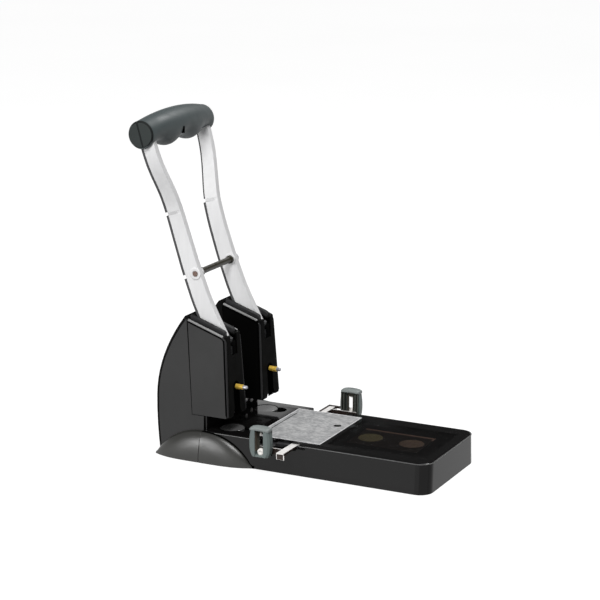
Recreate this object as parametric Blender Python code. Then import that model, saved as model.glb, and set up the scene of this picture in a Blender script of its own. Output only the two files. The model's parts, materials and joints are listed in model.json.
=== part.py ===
"""Two-hole hollow punch with a long two-armed lever, built as separate pieces.

Units are metres, +Z is up, +X is the right-hand side as seen from the front, and the front is
towards -Y. Every length below is measured from the middle plane (X), from the upper front edge
of the punch towers (Y) and from the desk (Z). One root empty then shifts the whole machine
along Y, so that the origin is the bottom centre of the machine's own box.
"""
import math

import bmesh
import bpy
from mathutils import Vector

# Paper, holes and clearances
HOLE_SPACING = 0.0800
HOLE_EDGE_DISTANCE = 0.0120
PAPER_GAP = 0.0157
PUNCH_Y = 0.0105
CLEARANCE = 0.0003
RUNNING_CLEARANCE = 0.0004
OVERRUN = 0.0040
TOWER_X = HOLE_SPACING / 2
ROUND_SEGMENTS = 24
SMALL_SEGMENTS = 12
CORNER_STEPS = 5
SMOOTH_ANGLE = math.radians(35.0)

# Table height, bottom plate and rubber feet
TABLE_HEIGHT = 0.0343
BASE_WALL = 0.0025
BASE_SKIN_BOTTOM = TABLE_HEIGHT - BASE_WALL
BASE_GROUND_GAP = 0.0006
FOOT_HEIGHT = 0.0012
FOOT_RADIUS = 0.0090
FOOT_INSET_X = 0.0180
FOOT_FRONT_INSET = 0.0230
FOOT_BACK_INSET = 0.0153
BOTTOM_PLATE_THICKNESS = 0.0020
BOTTOM_PLATE_SIDE_GAP = 0.0054
BOTTOM_PLATE_FRONT_GAP = 0.0050
BOTTOM_PLATE_BACK_GAP = 0.0033
BOTTOM_PLATE_Z = FOOT_HEIGHT + CLEARANCE
FRAME_FOOT_Z = BOTTOM_PLATE_Z + BOTTOM_PLATE_THICKNESS + CLEARANCE

# Cutting discs under the punches, and their finger wells
DISC_RADIUS = 0.0137
DISC_THICKNESS = 0.0040
DISC_FORWARD = 0.0089
DISC_SINK = 0.0004
DISC_CLEARANCE = 0.0004
DISC_Y = PUNCH_Y - DISC_FORWARD
DISC_TOP_Z = TABLE_HEIGHT - DISC_SINK
BED_TOP_Z = DISC_TOP_Z - DISC_THICKNESS - CLEARANCE
FINGER_WELL_RADIUS = 0.0095
FINGER_WELL_FORWARD = 0.0161
FINGER_WELL_DEPTH = 0.0060
FINGER_WELL_Y = DISC_Y - FINGER_WELL_FORWARD

# Hollow punch, its stroke down to the disc, and the stripper plate
TOWER_FLOOR_Z = TABLE_HEIGHT + PAPER_GAP
PUNCH_RADIUS = 0.0032
PUNCH_WALL = 0.0007
PUNCH_BORE_RADIUS = PUNCH_RADIUS - PUNCH_WALL
PUNCH_TIP_RISE = 0.0014
PUNCH_TIP_Z = TOWER_FLOOR_Z + PUNCH_TIP_RISE
PUNCH_STROKE = PUNCH_TIP_Z - DISC_TOP_Z - CLEARANCE
PUNCH_SEAT = 0.0080
STRIPPER_RISE = 0.0004
STRIPPER_THICKNESS = 0.0030
STRIPPER_BORE_CLEARANCE = 0.0004
STRIPPER_FOOT_Z = TOWER_FLOOR_Z + STRIPPER_RISE
STRIPPER_TOP_Z = STRIPPER_FOOT_Z + STRIPPER_THICKNESS

# Punch holder, with its body in the guide block and its flange on the spring
HOLDER_WALL = 0.0038
HOLDER_HALF_WIDTH = PUNCH_RADIUS + HOLDER_WALL
HOLDER_BODY_HEIGHT = 0.0149
HOLDER_BOTTOM_Z = STRIPPER_TOP_Z + CLEARANCE + PUNCH_STROKE
HOLDER_BODY_TOP_Z = HOLDER_BOTTOM_Z + HOLDER_BODY_HEIGHT
HOLDER_STEM_INSET = 0.0015
HOLDER_STEM_RADIUS = HOLDER_HALF_WIDTH - HOLDER_STEM_INSET
HOLDER_FLANGE_THICKNESS = 0.0024
HOLDER_FLANGE_RIM = 0.0006
HOLDER_HEAD_HEIGHT = 0.0072
HOLDER_HEAD_FRONT = 0.0070
HOLDER_HEAD_BACK = 0.0048
GUIDE_FOOT_Z = STRIPPER_TOP_Z + CLEARANCE
GUIDE_BLOCK_HEIGHT = 0.0348
GUIDE_TOP_Z = GUIDE_FOOT_Z + GUIDE_BLOCK_HEIGHT
GUIDE_SIDE_WALL = 0.0036
GUIDE_FRONT_WALL = 0.0035
GUIDE_BACK_WALL = 0.0066
GUIDE_BORE_HALF_WIDTH = HOLDER_HALF_WIDTH + RUNNING_CLEARANCE
GUIDE_FRONT_Y = PUNCH_Y - GUIDE_BORE_HALF_WIDTH - GUIDE_FRONT_WALL
GUIDE_BACK_Y = PUNCH_Y + GUIDE_BORE_HALF_WIDTH + GUIDE_BACK_WALL
GUIDE_HALF_WIDTH = GUIDE_BORE_HALF_WIDTH + GUIDE_SIDE_WALL
CHIP_SLOT_RISE = 0.0062
SPRING_WIRE_RADIUS = 0.0007
SPRING_STEM_GAP = 0.0011
SPRING_RADIUS = HOLDER_STEM_RADIUS + SPRING_WIRE_RADIUS + SPRING_STEM_GAP
SPRING_TURNS = 5
SPRING_POINTS_PER_TURN = 8
SPRING_SHUT_LENGTH = 0.0099
HOLDER_FLANGE_RADIUS = SPRING_RADIUS + SPRING_WIRE_RADIUS + HOLDER_FLANGE_RIM
HOLDER_FLANGE_Z = GUIDE_TOP_Z + SPRING_SHUT_LENGTH + PUNCH_STROKE
HOLDER_FLANGE_TOP_Z = HOLDER_FLANGE_Z + HOLDER_FLANGE_THICKNESS
HOLDER_TOP_Z = HOLDER_FLANGE_TOP_Z + HOLDER_HEAD_HEIGHT

# Brass lock pin in the front of each holder
PIN_RISE = 0.0111
PIN_Z = HOLDER_BOTTOM_Z + PIN_RISE
PIN_RADIUS = 0.0027
PIN_REACH = 0.0230
PIN_TIP_RADIUS = 0.0021
PIN_TIP_LENGTH = 0.0052
PIN_SEAT_DEPTH = 0.0030
PIN_SLOT_SIDE_GAP = 0.0010
GUIDE_SLOT_HALF_WIDTH = PIN_RADIUS + PIN_SLOT_SIDE_GAP

# Lever pivot and involute cam
LEVER_SWING = math.radians(75.0)
CAM_RATE = PUNCH_STROKE / LEVER_SWING
CAM_START = 0.0025
CAM_CONTACT_GAP = 0.0003
CAM_HUB_RADIUS = 0.0070
CAM_BACK_ANGLE = math.radians(60.0)
CAM_STEPS = 10
CAM_SHANK_HEIGHT = 0.0330
CAM_SHANK_HALF_DEPTH = 0.0058
PIVOT_Y = PUNCH_Y + CAM_RATE
PIVOT_Z = HOLDER_TOP_Z + CAM_CONTACT_GAP + CAM_START
AXLE_RADIUS = 0.0040
AXLE_HEAD_RADIUS = 0.0058
AXLE_HEAD_HEIGHT = 0.0009
AXLE_BORE_CLEARANCE = 0.0003

# Back stop for the paper, and the back of the base behind it
BACK_STOP_THICKNESS = 0.0022
BACK_STOP_SIDE_GAP = 0.0059
BACK_STOP_Y = PUNCH_Y + HOLE_EDGE_DISTANCE
BASE_BACK_Y = BACK_STOP_Y + BACK_STOP_THICKNESS
REAR_NOTCH_Y = BASE_BACK_Y + CLEARANCE

# Tower covers: a drafted block that leans forward, with a sloping top
TOWER_WALL = 0.0022
TOWER_FLOOR_THICKNESS = 0.0018
TOWER_FLOOR_INNER_Z = TOWER_FLOOR_Z + TOWER_FLOOR_THICKNESS
TOWER_LEAN = 0.0534
TOWER_TOP_SLOPE = 0.3415
TOWER_CORNER_RADIUS = 0.0040
TOWER_INNER_CORNER_RADIUS = 0.0010
TOWER_TAPER = 0.0045
LIP_ABOVE_PIVOT = 0.0120
LIP_BEFORE_PUNCH = 0.0111
TOWER_LIP_Y = PUNCH_Y - LIP_BEFORE_PUNCH
TOWER_LIP_Z = PIVOT_Z + LIP_ABOVE_PIVOT
ARM_FOOT_DEPTH = 0.0208
ARM_FOOT_BEHIND_PUNCH = 0.0063
ARM_FOOT_Y = PUNCH_Y + ARM_FOOT_BEHIND_PUNCH
ARM_FOOT_BACK_Y = ARM_FOOT_Y + ARM_FOOT_DEPTH / 2
SEAM_BEHIND_ARM = 0.0211
SEAM_LEAN = 0.0083
SEAM_TOP_Y = ARM_FOOT_BACK_Y + SEAM_BEHIND_ARM
SEAM_TOP_Z = TOWER_LIP_Z + TOWER_TOP_SLOPE * (SEAM_TOP_Y - TOWER_LIP_Y)
SEAM_FOOT_Y = SEAM_TOP_Y - SEAM_LEAN

# Steel frame of each tower
PLATE_THICKNESS = 0.0030
PLATE_INNER_X = GUIDE_HALF_WIDTH + CLEARANCE
PLATE_OUTER_X = PLATE_INNER_X + PLATE_THICKNESS
PLATE_COVER_GAP = 0.0008
PLATE_COLUMN_GAP = 0.0025
PLATE_COLUMN_FRONT_Y = REAR_NOTCH_Y + PLATE_COLUMN_GAP
PLATE_COLUMN_OVERLAP = 0.0203
PLATE_COLUMN_BACK_Y = SEAM_FOOT_Y + PLATE_COLUMN_OVERLAP
PLATE_JAW_REACH = 0.0245
PLATE_JAW_FRONT_Y = PUNCH_Y - PLATE_JAW_REACH
PLATE_HEAD_FRONT_Y = TOWER_LIP_Y + TOWER_WALL + PLATE_COVER_GAP
PLATE_HEAD_DROP = 0.0035
PLATE_HEAD_TOP_Z = TOWER_LIP_Z - PLATE_HEAD_DROP
PLATE_SHOULDER_DROP = 0.0100
PLATE_SHOULDER_Z = PIVOT_Z - PLATE_SHOULDER_DROP
BED_DEPTH = 0.0190
BED_RIM = 0.0010
BED_FRONT_Y = FINGER_WELL_Y - FINGER_WELL_RADIUS - BED_RIM
POST_GAP = 0.0030
POST_DROP = 0.0280
POST_TOP_Z = PIVOT_Z - POST_DROP
TOWER_TOP_HALF_WIDTH = PLATE_OUTER_X + PLATE_COVER_GAP + TOWER_WALL
TOWER_FOOT_HALF_WIDTH = TOWER_TOP_HALF_WIDTH + TOWER_TAPER

# Base housing
BASE_LEDGE = 0.0041
BASE_HALF_WIDTH = TOWER_X + TOWER_FOOT_HALF_WIDTH + BASE_LEDGE
BASE_DRAFT = 0.0020
BASE_FLANK_X = BASE_HALF_WIDTH + BASE_DRAFT
BASE_CORNER_RADIUS = 0.0150
BASE_EDGE_RADIUS = 0.0015
BOTTOM_PLATE_HALF_WIDTH = BASE_HALF_WIDTH - BOTTOM_PLATE_SIDE_GAP
BACK_STOP_HALF_WIDTH = BASE_HALF_WIDTH - BACK_STOP_SIDE_GAP

# Label plate on the table
LABEL_SIDE_BORDER = 0.0120
LABEL_HALF_WIDTH = BASE_HALF_WIDTH - LABEL_SIDE_BORDER
LABEL_WELL_GAP = 0.0097
LABEL_LENGTH = 0.0789
LABEL_BACK_Y = FINGER_WELL_Y - FINGER_WELL_RADIUS - LABEL_WELL_GAP
LABEL_FRONT_Y = LABEL_BACK_Y - LABEL_LENGTH
LABEL_THICKNESS = 0.0006
LABEL_RECESS = 0.0005
LABEL_HOLE_X = 0.0153
LABEL_HOLE_INSET = 0.0120
LABEL_HOLE_Y = LABEL_FRONT_Y + LABEL_HOLE_INSET
LABEL_HOLE_RADIUS = 0.0045

# Storage compartment with its smoked lid and two spare discs
LID_SIDE_BORDER = 0.0199
LID_HALF_WIDTH = BASE_HALF_WIDTH - LID_SIDE_BORDER
LID_LABEL_GAP = 0.0054
LID_BACK_Y = LABEL_FRONT_Y - LID_LABEL_GAP
LID_THICKNESS = 0.0016
LID_TOP_SINK = 0.0001
LID_TOP_Z = TABLE_HEIGHT - LID_TOP_SINK
LID_BOTTOM_Z = LID_TOP_Z - LID_THICKNESS
LID_HINGE_INSET = 0.0007
LID_HINGE_Y = LID_BACK_Y - LID_HINGE_INSET
LID_HINGE_Z = LID_TOP_Z - LID_THICKNESS / 2
LID_PIN_RADIUS = 0.0004
LID_PIN_LENGTH = 0.0030
LID_NOTCH_RADIUS = 0.0050
TRAY_BACK_MARGIN = 0.0128
TRAY_FRONT_MARGIN = 0.0174
TRAY_DISC_BORDER = 0.0034
TRAY_SIDE_BORDER = 0.0135
TRAY_FLANGE = 0.0040
TRAY_FLANGE_THICKNESS = 0.0020
TRAY_FLOOR = 0.0026
TRAY_TOP_Z = LID_BOTTOM_Z - CLEARANCE
TRAY_WELL_Z = TRAY_TOP_Z - DISC_THICKNESS - CLEARANCE
TRAY_HALF_WIDTH = DISC_RADIUS + TRAY_SIDE_BORDER
TRAY_BACK_Y = LID_BACK_Y - TRAY_BACK_MARGIN
SPARE_DISC_PITCH = 0.0486
SPARE_REAR_Y = TRAY_BACK_Y - DISC_RADIUS - TRAY_DISC_BORDER
SPARE_FRONT_Y = SPARE_REAR_Y - SPARE_DISC_PITCH
TRAY_FRONT_Y = SPARE_FRONT_Y - DISC_RADIUS - TRAY_DISC_BORDER
LID_FRONT_Y = TRAY_FRONT_Y - TRAY_FRONT_MARGIN
LID_FRONT_BORDER = 0.0130
BASE_FRONT_Y = LID_FRONT_Y - LID_FRONT_BORDER

# Slots and caps of the towers
ARM_WIDTH = 0.0100
ARM_SLOT_SIDE_GAP = 0.0022
ARM_SLOT_HALF_WIDTH = ARM_WIDTH / 2 + ARM_SLOT_SIDE_GAP
ARM_SLOT_DEPTH = 0.0230
ARM_SLOT_BOTTOM_Z = TOWER_LIP_Z - ARM_SLOT_DEPTH
PIN_SLOT_HALF_WIDTH = 0.0060
PIN_SLOT_TOP_Z = PIN_Z + PIN_SLOT_HALF_WIDTH
PIN_SLOT_FLARE = 0.0040
PIN_SLOT_FLARE_HEIGHT = 0.0075
CAP_SINK = 0.0012
CAP_THICKNESS = 0.0018
CAP_SLOT_SIDE_GAP = 0.0014
CAP_SLOT_HALF_WIDTH = ARM_WIDTH / 2 + CAP_SLOT_SIDE_GAP
CAP_SLOT_BACK_GAP = 0.0123
CAP_SLOT_BACK_Y = ARM_FOOT_BACK_Y + CAP_SLOT_BACK_GAP
CAP_EDGE_GAP = 0.0004

# Rear cover: one shell behind both towers
REAR_WALL = 0.0022
REAR_TOP_DEPTH = 0.0042
REAR_CORNER_Y = SEAM_TOP_Y + REAR_TOP_DEPTH
REAR_BULGE_REACH = 0.0340
REAR_BULGE_Y = REAR_CORNER_Y + REAR_BULGE_REACH
REAR_BULGE_RISE = 0.0160
REAR_BULGE_Z = TOWER_FLOOR_Z + REAR_BULGE_RISE
REAR_FOOT_TUCK = 0.0052
REAR_FOOT_Y = REAR_BULGE_Y - REAR_FOOT_TUCK
BRIDGE_DROP = 0.0420
BRIDGE_Z = TOWER_LIP_Z - BRIDGE_DROP
REAR_UPPER_STEPS = 10
REAR_LOWER_STEPS = 4
FOOT_BACK_Y = REAR_FOOT_Y - FOOT_BACK_INSET
BOTTOM_PLATE_BACK_Y = REAR_FOOT_Y - BOTTOM_PLATE_BACK_GAP

# Foot covers on both flanks
DOME_FRONT_LENGTH = 0.0617
DOME_SEAM_Y = BASE_BACK_Y
DOME_FRONT_Y = DOME_SEAM_Y - DOME_FRONT_LENGTH
DOME_BACK_REACH = 0.0021
DOME_BACK_Y = REAR_FOOT_Y + DOME_BACK_REACH
DOME_TABLE_DROP = 0.0013
DOME_HEIGHT = TABLE_HEIGHT - DOME_TABLE_DROP
DOME_BULGE = 0.0085
DOME_SEAM_GAP = 0.0003
DOME_STEPS = 7
DOME_ARC_STEPS = 6
DOME_END_SHARE = 0.04
DOME_CROWN_POWER = 2.2
DOME_FLANK_POWER = 0.8
DOME_PLAN_POWER = 4

# Arms, given as shares of their length and of their setback
ARM_WALL = 0.0015
ARM_TOP_DEPTH = 0.0137
ARM_FOOT_RISE = 0.0090
ARM_LENGTH = 0.2270
ARM_SETBACK = 0.0770
ARM_SPLAY = 0.0202
ARM_FOOT_Z = PIVOT_Z + ARM_FOOT_RISE
ARM_TOP_Z = ARM_FOOT_Z + ARM_LENGTH
ARM_HEIGHT_SHARES = (0.0, 0.0837, 0.1674, 0.3216, 0.4758, 0.5859, 0.6410, 0.6960, 0.7511, 0.8062,
                     0.8722, 1.0)
ARM_SETBACK_SHARES = (0.0, 0.1299, 0.2494, 0.4208, 0.5675, 0.6610, 0.6987, 0.7364, 0.7831, 0.8312,
                      0.8883, 1.0)
ARM_SPLAY_SHARES = (0.0, 0.0, 0.0, 0.0, 0.0, 0.06, 0.18, 0.37, 0.60, 0.82, 0.95, 1.0)
ARM_HEIGHTS = [ARM_FOOT_Z + ARM_LENGTH * share for share in ARM_HEIGHT_SHARES]
ARM_LEAN_SHARE = 0.025
STRIP_PROUD = 0.0014
STRIP_DEPTH = 0.0026
STRIP_FOOT_RISE = 0.0080
STRIP_TOP_DROP = 0.0160
STRIP_FOOT_Z = ARM_FOOT_Z + STRIP_FOOT_RISE
STRIP_TOP_Z = ARM_TOP_Z - STRIP_TOP_DROP
CAM_HALF_THICKNESS = ARM_WIDTH / 2 - ARM_WALL - CLEARANCE
CAM_SHANK_TOP_Z = ARM_FOOT_Z + CAM_SHANK_HEIGHT

# Cross rod between the arms
ROD_HEIGHT_SHARE = 0.2921
ROD_Z = ARM_FOOT_Z + ARM_LENGTH * ROD_HEIGHT_SHARE
ROD_FORWARD = 0.0040
ROD_RADIUS = 0.0036
ROD_SCREW_RADIUS = 0.0018
ROD_SCREW_REACH = 0.0050
ROD_SCREW_HEAD_RADIUS = 0.0032
ROD_SCREW_HEAD_HEIGHT = 0.0014
ROD_RING_RADIUS = 0.0060
ROD_RING_THICKNESS = 0.0010

# Hand grip and the tube inside it
GRIP_END_MARGIN = 0.0038
GRIP_HALF_LENGTH = TOWER_X + ARM_SPLAY + ARM_WIDTH / 2 + GRIP_END_MARGIN
GRIP_FORWARD = 0.0015
GRIP_DROP = 0.0036
GRIP_Y = ARM_FOOT_Y + ARM_SETBACK - GRIP_FORWARD
GRIP_Z = ARM_TOP_Z - GRIP_DROP
GRIP_BOW = 0.0035
GRIP_BACK_BOW = 0.0031
GRIP_MIDDLE_RADIUS = 0.0187
GRIP_END_RADIUS = 0.0147
GRIP_END_ROUND = 0.0020
GRIP_LEAN = math.radians(15.5)
GRIP_FINGER_PITCH = 0.0490
GRIP_FINGER_WAVE = 0.0024
GRIP_FACING_POWER = 2
GRIP_STATIONS = 24
GRIP_SIDES = 20
GRIP_SPLIT_GAP = 0.0002
TUBE_RADIUS = 0.0045
TUBE_WALL = 0.0012
TUBE_OVERHANG = 0.0015
TUBE_DROP = 0.0070
TUBE_Z = ARM_TOP_Z - TUBE_DROP

# Sliding paper guides: two flat bars that run in a channel under the table
GUIDE_LABEL_OFFSET = 0.0375
GUIDE_CENTRE_Y = LABEL_BACK_Y - GUIDE_LABEL_OFFSET
BAR_OFFSET = 0.0127
BAR_WIDTH = 0.0094
BAR_THICKNESS = 0.0016
BAR_TOP_Z = BASE_SKIN_BOTTOM - CLEARANCE
BAR_BOTTOM_Z = BAR_TOP_Z - BAR_THICKNESS
BAR_OVERHANG = 0.0256
BAR_OUTER_X = BASE_HALF_WIDTH + BAR_OVERHANG
BAR_INNER_GAP = 0.0209
BAR_INNER_X = BASE_HALF_WIDTH - BAR_INNER_GAP
BAR_FLANGE_DROP = 0.0055
BRACKET_OVERHANG = 0.0112
BRACKET_X = BASE_HALF_WIDTH + BRACKET_OVERHANG
BRACKET_BACK_GAP = 0.0030
BRACKET_FOOT_DROP = 0.0035
GUIDE_SCREW_DROP = 0.0030
GUIDE_SCREW_Z = BAR_TOP_Z - GUIDE_SCREW_DROP
BRACKET_FOOT_Z = GUIDE_SCREW_Z - BRACKET_FOOT_DROP
GUIDE_OFFSET = 0.0123
GUIDE_WIDTH = 0.0270
GUIDE_SWELL = 0.0018
GUIDE_DEPTH = 0.0120
GUIDE_INNER_X = BRACKET_X + BAR_THICKNESS + CLEARANCE
GUIDE_OUTER_X = GUIDE_INNER_X + GUIDE_DEPTH
GUIDE_FOOT_DROP = 0.0055
GUIDE_HEIGHT = 0.0310
GUIDE_LOW_Z = GUIDE_SCREW_Z - GUIDE_FOOT_DROP
GUIDE_HIGH_Z = GUIDE_LOW_Z + GUIDE_HEIGHT
GUIDE_CROWN = 0.0016
GUIDE_SLOT_RADIUS = 0.0016
GUIDE_SLOT_FOOT_DROP = 0.0026
GUIDE_SLOT_TOP_MARGIN = 0.0080
GUIDE_RECESS_HALF_WIDTH = 0.0052
GUIDE_RECESS_DEPTH = 0.0040
GUIDE_RECESS_FOOT_DROP = 0.0050
GUIDE_RECESS_TOP_MARGIN = 0.0045
GUIDE_LEVELS = 5
GUIDE_SCREW_HEAD_RADIUS = 0.0038
GUIDE_SCREW_CROWN_RADIUS = 0.0027
GUIDE_SCREW_HEAD_HEIGHT = 0.0020
GUIDE_SCREW_RADIUS = 0.0012
GUIDE_SCREW_GRIP = 0.0020
NOTCH_LABEL_GAP = 0.0011
NOTCH_INNER_X = LABEL_HALF_WIDTH + NOTCH_LABEL_GAP
NOTCH_FRONT_REACH = 0.0213
NOTCH_BACK_REACH = 0.0247
CHANNEL_SIDE_GAP = 0.0034
CHANNEL_HALF_LENGTH = BASE_HALF_WIDTH - CHANNEL_SIDE_GAP
CHANNEL_FLOOR = 0.0022
CHANNEL_WALL = 0.0028

# The origin is the bottom centre of the whole machine's box
GRIP_BACK_REACH = GRIP_Y + GRIP_MIDDLE_RADIUS
ORIGIN_SHIFT_Y = -(BASE_FRONT_Y + GRIP_BACK_REACH) / 2


def clear_scene():
    """Remove whatever the scene holds."""
    for existing in list(bpy.data.objects):
        bpy.data.objects.remove(existing, do_unlink=True)


def make_material(name, colour, roughness, metallic=0.0, alpha=1.0):
    """A Principled material in the photographed colour."""
    material = bpy.data.materials.new(name)
    material.use_nodes = True
    shader = material.node_tree.nodes["Principled BSDF"]
    shader.inputs["Base Color"].default_value = (*colour, 1.0)
    shader.inputs["Roughness"].default_value = roughness
    shader.inputs["Metallic"].default_value = metallic
    shader.inputs["Alpha"].default_value = alpha
    material.diffuse_color = (*colour, alpha)
    return material


def make_empty(name, place, parent=None):
    """An empty that carries pieces; its place is given in the machine's own coordinates."""
    empty = bpy.data.objects.new(name, None)
    bpy.context.scene.collection.objects.link(empty)
    origin = origin_of(parent)
    empty.parent = parent
    empty.location = Vector(place) - origin
    return empty


def origin_of(parent):
    """Where a parent empty stands, in the machine's own coordinates."""
    origin = Vector((0.0, 0.0, 0.0))
    while parent is not None and parent.name != "machine_root":
        origin += parent.location
        parent = parent.parent
    return origin


def add_piece(name, mesh_maker, material, parent, smooth=False):
    """Make one named object from a bmesh filled in machine coordinates."""
    shape = bmesh.new()
    mesh_maker(shape)
    bmesh.ops.recalc_face_normals(shape, faces=shape.faces)
    bmesh.ops.translate(shape, verts=shape.verts, vec=-origin_of(parent))
    mesh = bpy.data.meshes.new(name)
    shape.to_mesh(mesh)
    shape.free()
    piece = bpy.data.objects.new(name, mesh)
    bpy.context.scene.collection.objects.link(piece)
    piece.parent = parent
    if material is not None:
        mesh.materials.append(material)
    if smooth:
        mesh.shade_smooth()
        mesh.set_sharp_from_angle(angle=SMOOTH_ANGLE)
    return piece


def cut_piece(piece, mesh_maker, parent, label, operation="DIFFERENCE"):
    """Cut a piece with a hidden cutter, or join the cutter's shape to it."""
    cutter = add_piece(f"{piece.name}_{label}_cutter", mesh_maker, None, parent)
    cutter.hide_render = True
    cutter.display_type = "WIRE"
    boolean = piece.modifiers.new(label, "BOOLEAN")
    boolean.operation = operation
    boolean.object = cutter
    boolean.solver = "EXACT"
    return cutter


def fill_rings(shape, rings):
    """Skin a list of equal rings of points and close both ends."""
    loops = [[shape.verts.new(point) for point in ring] for ring in rings]
    for lower, upper in zip(loops, loops[1:]):
        for index in range(len(lower)):
            following = (index + 1) % len(lower)
            shape.faces.new((lower[index], lower[following], upper[following], upper[index]))
    shape.faces.new(loops[0])
    shape.faces.new(loops[-1])


def fill_box(shape, low, high):
    """An axis-aligned block between two corners."""
    outline = ((low[0], low[1]), (high[0], low[1]), (high[0], high[1]), (low[0], high[1]))
    fill_rings(shape, [[(x, y, z) for x, y in outline] for z in (low[2], high[2])])


def fill_prism_x(shape, outline, x_low, x_high):
    """An outline of (y, z) points pushed along X."""
    fill_rings(shape, [[(x, y, z) for y, z in outline] for x in (x_low, x_high)])


def fill_turned(shape, centre, axis, profile, segments=ROUND_SEGMENTS):
    """A solid of revolution: profile holds (distance along the axis, radius) pairs."""
    direction = Vector(axis).normalized()
    side = direction.orthogonal().normalized()
    other = direction.cross(side)
    rings = []
    for distance, radius in profile:
        middle = Vector(centre) + direction * distance
        ring = []
        for step in range(segments):
            angle = math.tau * step / segments
            ring.append(middle + side * (radius * math.cos(angle)) + other * (radius * math.sin(angle)))
        rings.append(ring)
    fill_rings(shape, rings)


def fill_tube(shape, centre, axis, low, high, outer, inner, segments=ROUND_SEGMENTS):
    """A round tube along an axis, open at both ends."""
    direction = Vector(axis).normalized()
    side = direction.orthogonal().normalized()
    other = direction.cross(side)
    corners = ((low, outer), (high, outer), (high, inner), (low, inner))
    rows = []
    for distance, radius in corners:
        middle = Vector(centre) + direction * distance
        row = []
        for step in range(segments):
            angle = math.tau * step / segments
            spoke = side * math.cos(angle) + other * math.sin(angle)
            row.append(shape.verts.new(middle + spoke * radius))
        rows.append(row)
    for index, row in enumerate(rows):
        following_row = rows[(index + 1) % len(rows)]
        for step in range(segments):
            following = (step + 1) % segments
            shape.faces.new((row[step], row[following], following_row[following], following_row[step]))


def arc_points(centre, radius, start, end, steps):
    """Points of an arc from one angle to another, both in radians."""
    points = []
    for step in range(steps + 1):
        angle = start + (end - start) * step / steps
        points.append((centre[0] + radius * math.cos(angle), centre[1] + radius * math.sin(angle)))
    return points


# Base housing, bottom plate and feet

def base_outline(half_width, front_y, back_y, radius):
    """Plan of the base: square at the back, round corners at the front."""
    quarter = math.pi / 2
    inner_x = half_width - radius
    inner_y = front_y + radius
    outline = [(half_width, back_y)]
    outline += arc_points((inner_x, inner_y), radius, 0.0, -quarter, CORNER_STEPS)
    outline += arc_points((-inner_x, inner_y), radius, -quarter, -2 * quarter, CORNER_STEPS)
    outline.append((-half_width, back_y))
    return outline


def base_half_width(height):
    """Half width of the base at a height: the flanks have a little draft."""
    return BASE_HALF_WIDTH + BASE_DRAFT * (1.0 - height / TABLE_HEIGHT)


def fill_base_body(shape):
    """Outer form of the base, with a small round along the table's edge."""
    rings = []
    shoulder = TABLE_HEIGHT - BASE_EDGE_RADIUS
    levels = ((BASE_GROUND_GAP, 0.0), (shoulder, 0.0), (TABLE_HEIGHT - BASE_EDGE_RADIUS / 3,
              BASE_EDGE_RADIUS / 3), (TABLE_HEIGHT, BASE_EDGE_RADIUS))
    for height, inset in levels:
        outline = base_outline(base_half_width(height) - inset, BASE_FRONT_Y + inset,
                               BASE_BACK_Y, BASE_CORNER_RADIUS - inset)
        rings.append([(x, y, height) for x, y in outline])
    fill_rings(shape, rings)


def fill_base_cavity(shape):
    """Hollow of the base, open underneath and at the back."""
    rings = []
    for height in (-OVERRUN, BASE_SKIN_BOTTOM):
        outline = base_outline(base_half_width(height) - BASE_WALL, BASE_FRONT_Y + BASE_WALL,
                               BASE_BACK_Y + OVERRUN, BASE_CORNER_RADIUS - BASE_WALL)
        rings.append([(x, y, height) for x, y in outline])
    fill_rings(shape, rings)


def fill_disc_wells(shape):
    """Holes for the cutting discs and the finger wells in front of them."""
    for side in (-1, 1):
        place = (side * TOWER_X, DISC_Y, BASE_SKIN_BOTTOM - OVERRUN)
        fill_turned(shape, place, (0, 0, 1), ((0.0, DISC_RADIUS + DISC_CLEARANCE),
                    (BASE_WALL + 2 * OVERRUN, DISC_RADIUS + DISC_CLEARANCE)))


def fill_finger_wells(shape):
    """Round finger wells that let a fingertip turn the cutting discs."""
    for side in (-1, 1):
        place = (side * TOWER_X, FINGER_WELL_Y, BASE_SKIN_BOTTOM - OVERRUN)
        fill_turned(shape, place, (0, 0, 1), ((0.0, FINGER_WELL_RADIUS),
                    (BASE_WALL + 2 * OVERRUN, FINGER_WELL_RADIUS)))


def fill_table_recesses(shape):
    """Shallow seats for the label plate and the storage lid."""
    fill_box(shape, (-LABEL_HALF_WIDTH - CLEARANCE, LABEL_FRONT_Y - CLEARANCE, TABLE_HEIGHT - LABEL_RECESS),
             (LABEL_HALF_WIDTH + CLEARANCE, LABEL_BACK_Y + CLEARANCE, TABLE_HEIGHT + OVERRUN))
    fill_box(shape, (-LID_HALF_WIDTH - RUNNING_CLEARANCE, LID_FRONT_Y - RUNNING_CLEARANCE,
                     LID_BOTTOM_Z - CLEARANCE),
             (LID_HALF_WIDTH + RUNNING_CLEARANCE, LID_BACK_Y + RUNNING_CLEARANCE, TABLE_HEIGHT + OVERRUN))


def fill_tray_opening(shape):
    """Opening in the table for the storage tray, and the two small lid bearings."""
    fill_box(shape, (-TRAY_HALF_WIDTH - CLEARANCE, TRAY_FRONT_Y - CLEARANCE, BASE_SKIN_BOTTOM - OVERRUN),
             (TRAY_HALF_WIDTH + CLEARANCE, TRAY_BACK_Y + CLEARANCE, TABLE_HEIGHT + OVERRUN))


def fill_lid_bearings(shape):
    """Bores for the lid's two pins, in the sides of its seat."""
    reach = LID_HALF_WIDTH + LID_PIN_LENGTH + CLEARANCE
    radius = LID_PIN_RADIUS + CLEARANCE
    for side in (-1, 1):
        place = (side * (LID_HALF_WIDTH - CLEARANCE), LID_HINGE_Y, LID_HINGE_Z)
        fill_turned(shape, place, (side, 0, 0), ((0.0, radius), (reach - LID_HALF_WIDTH + CLEARANCE, radius)),
                    SMALL_SEGMENTS)


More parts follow.
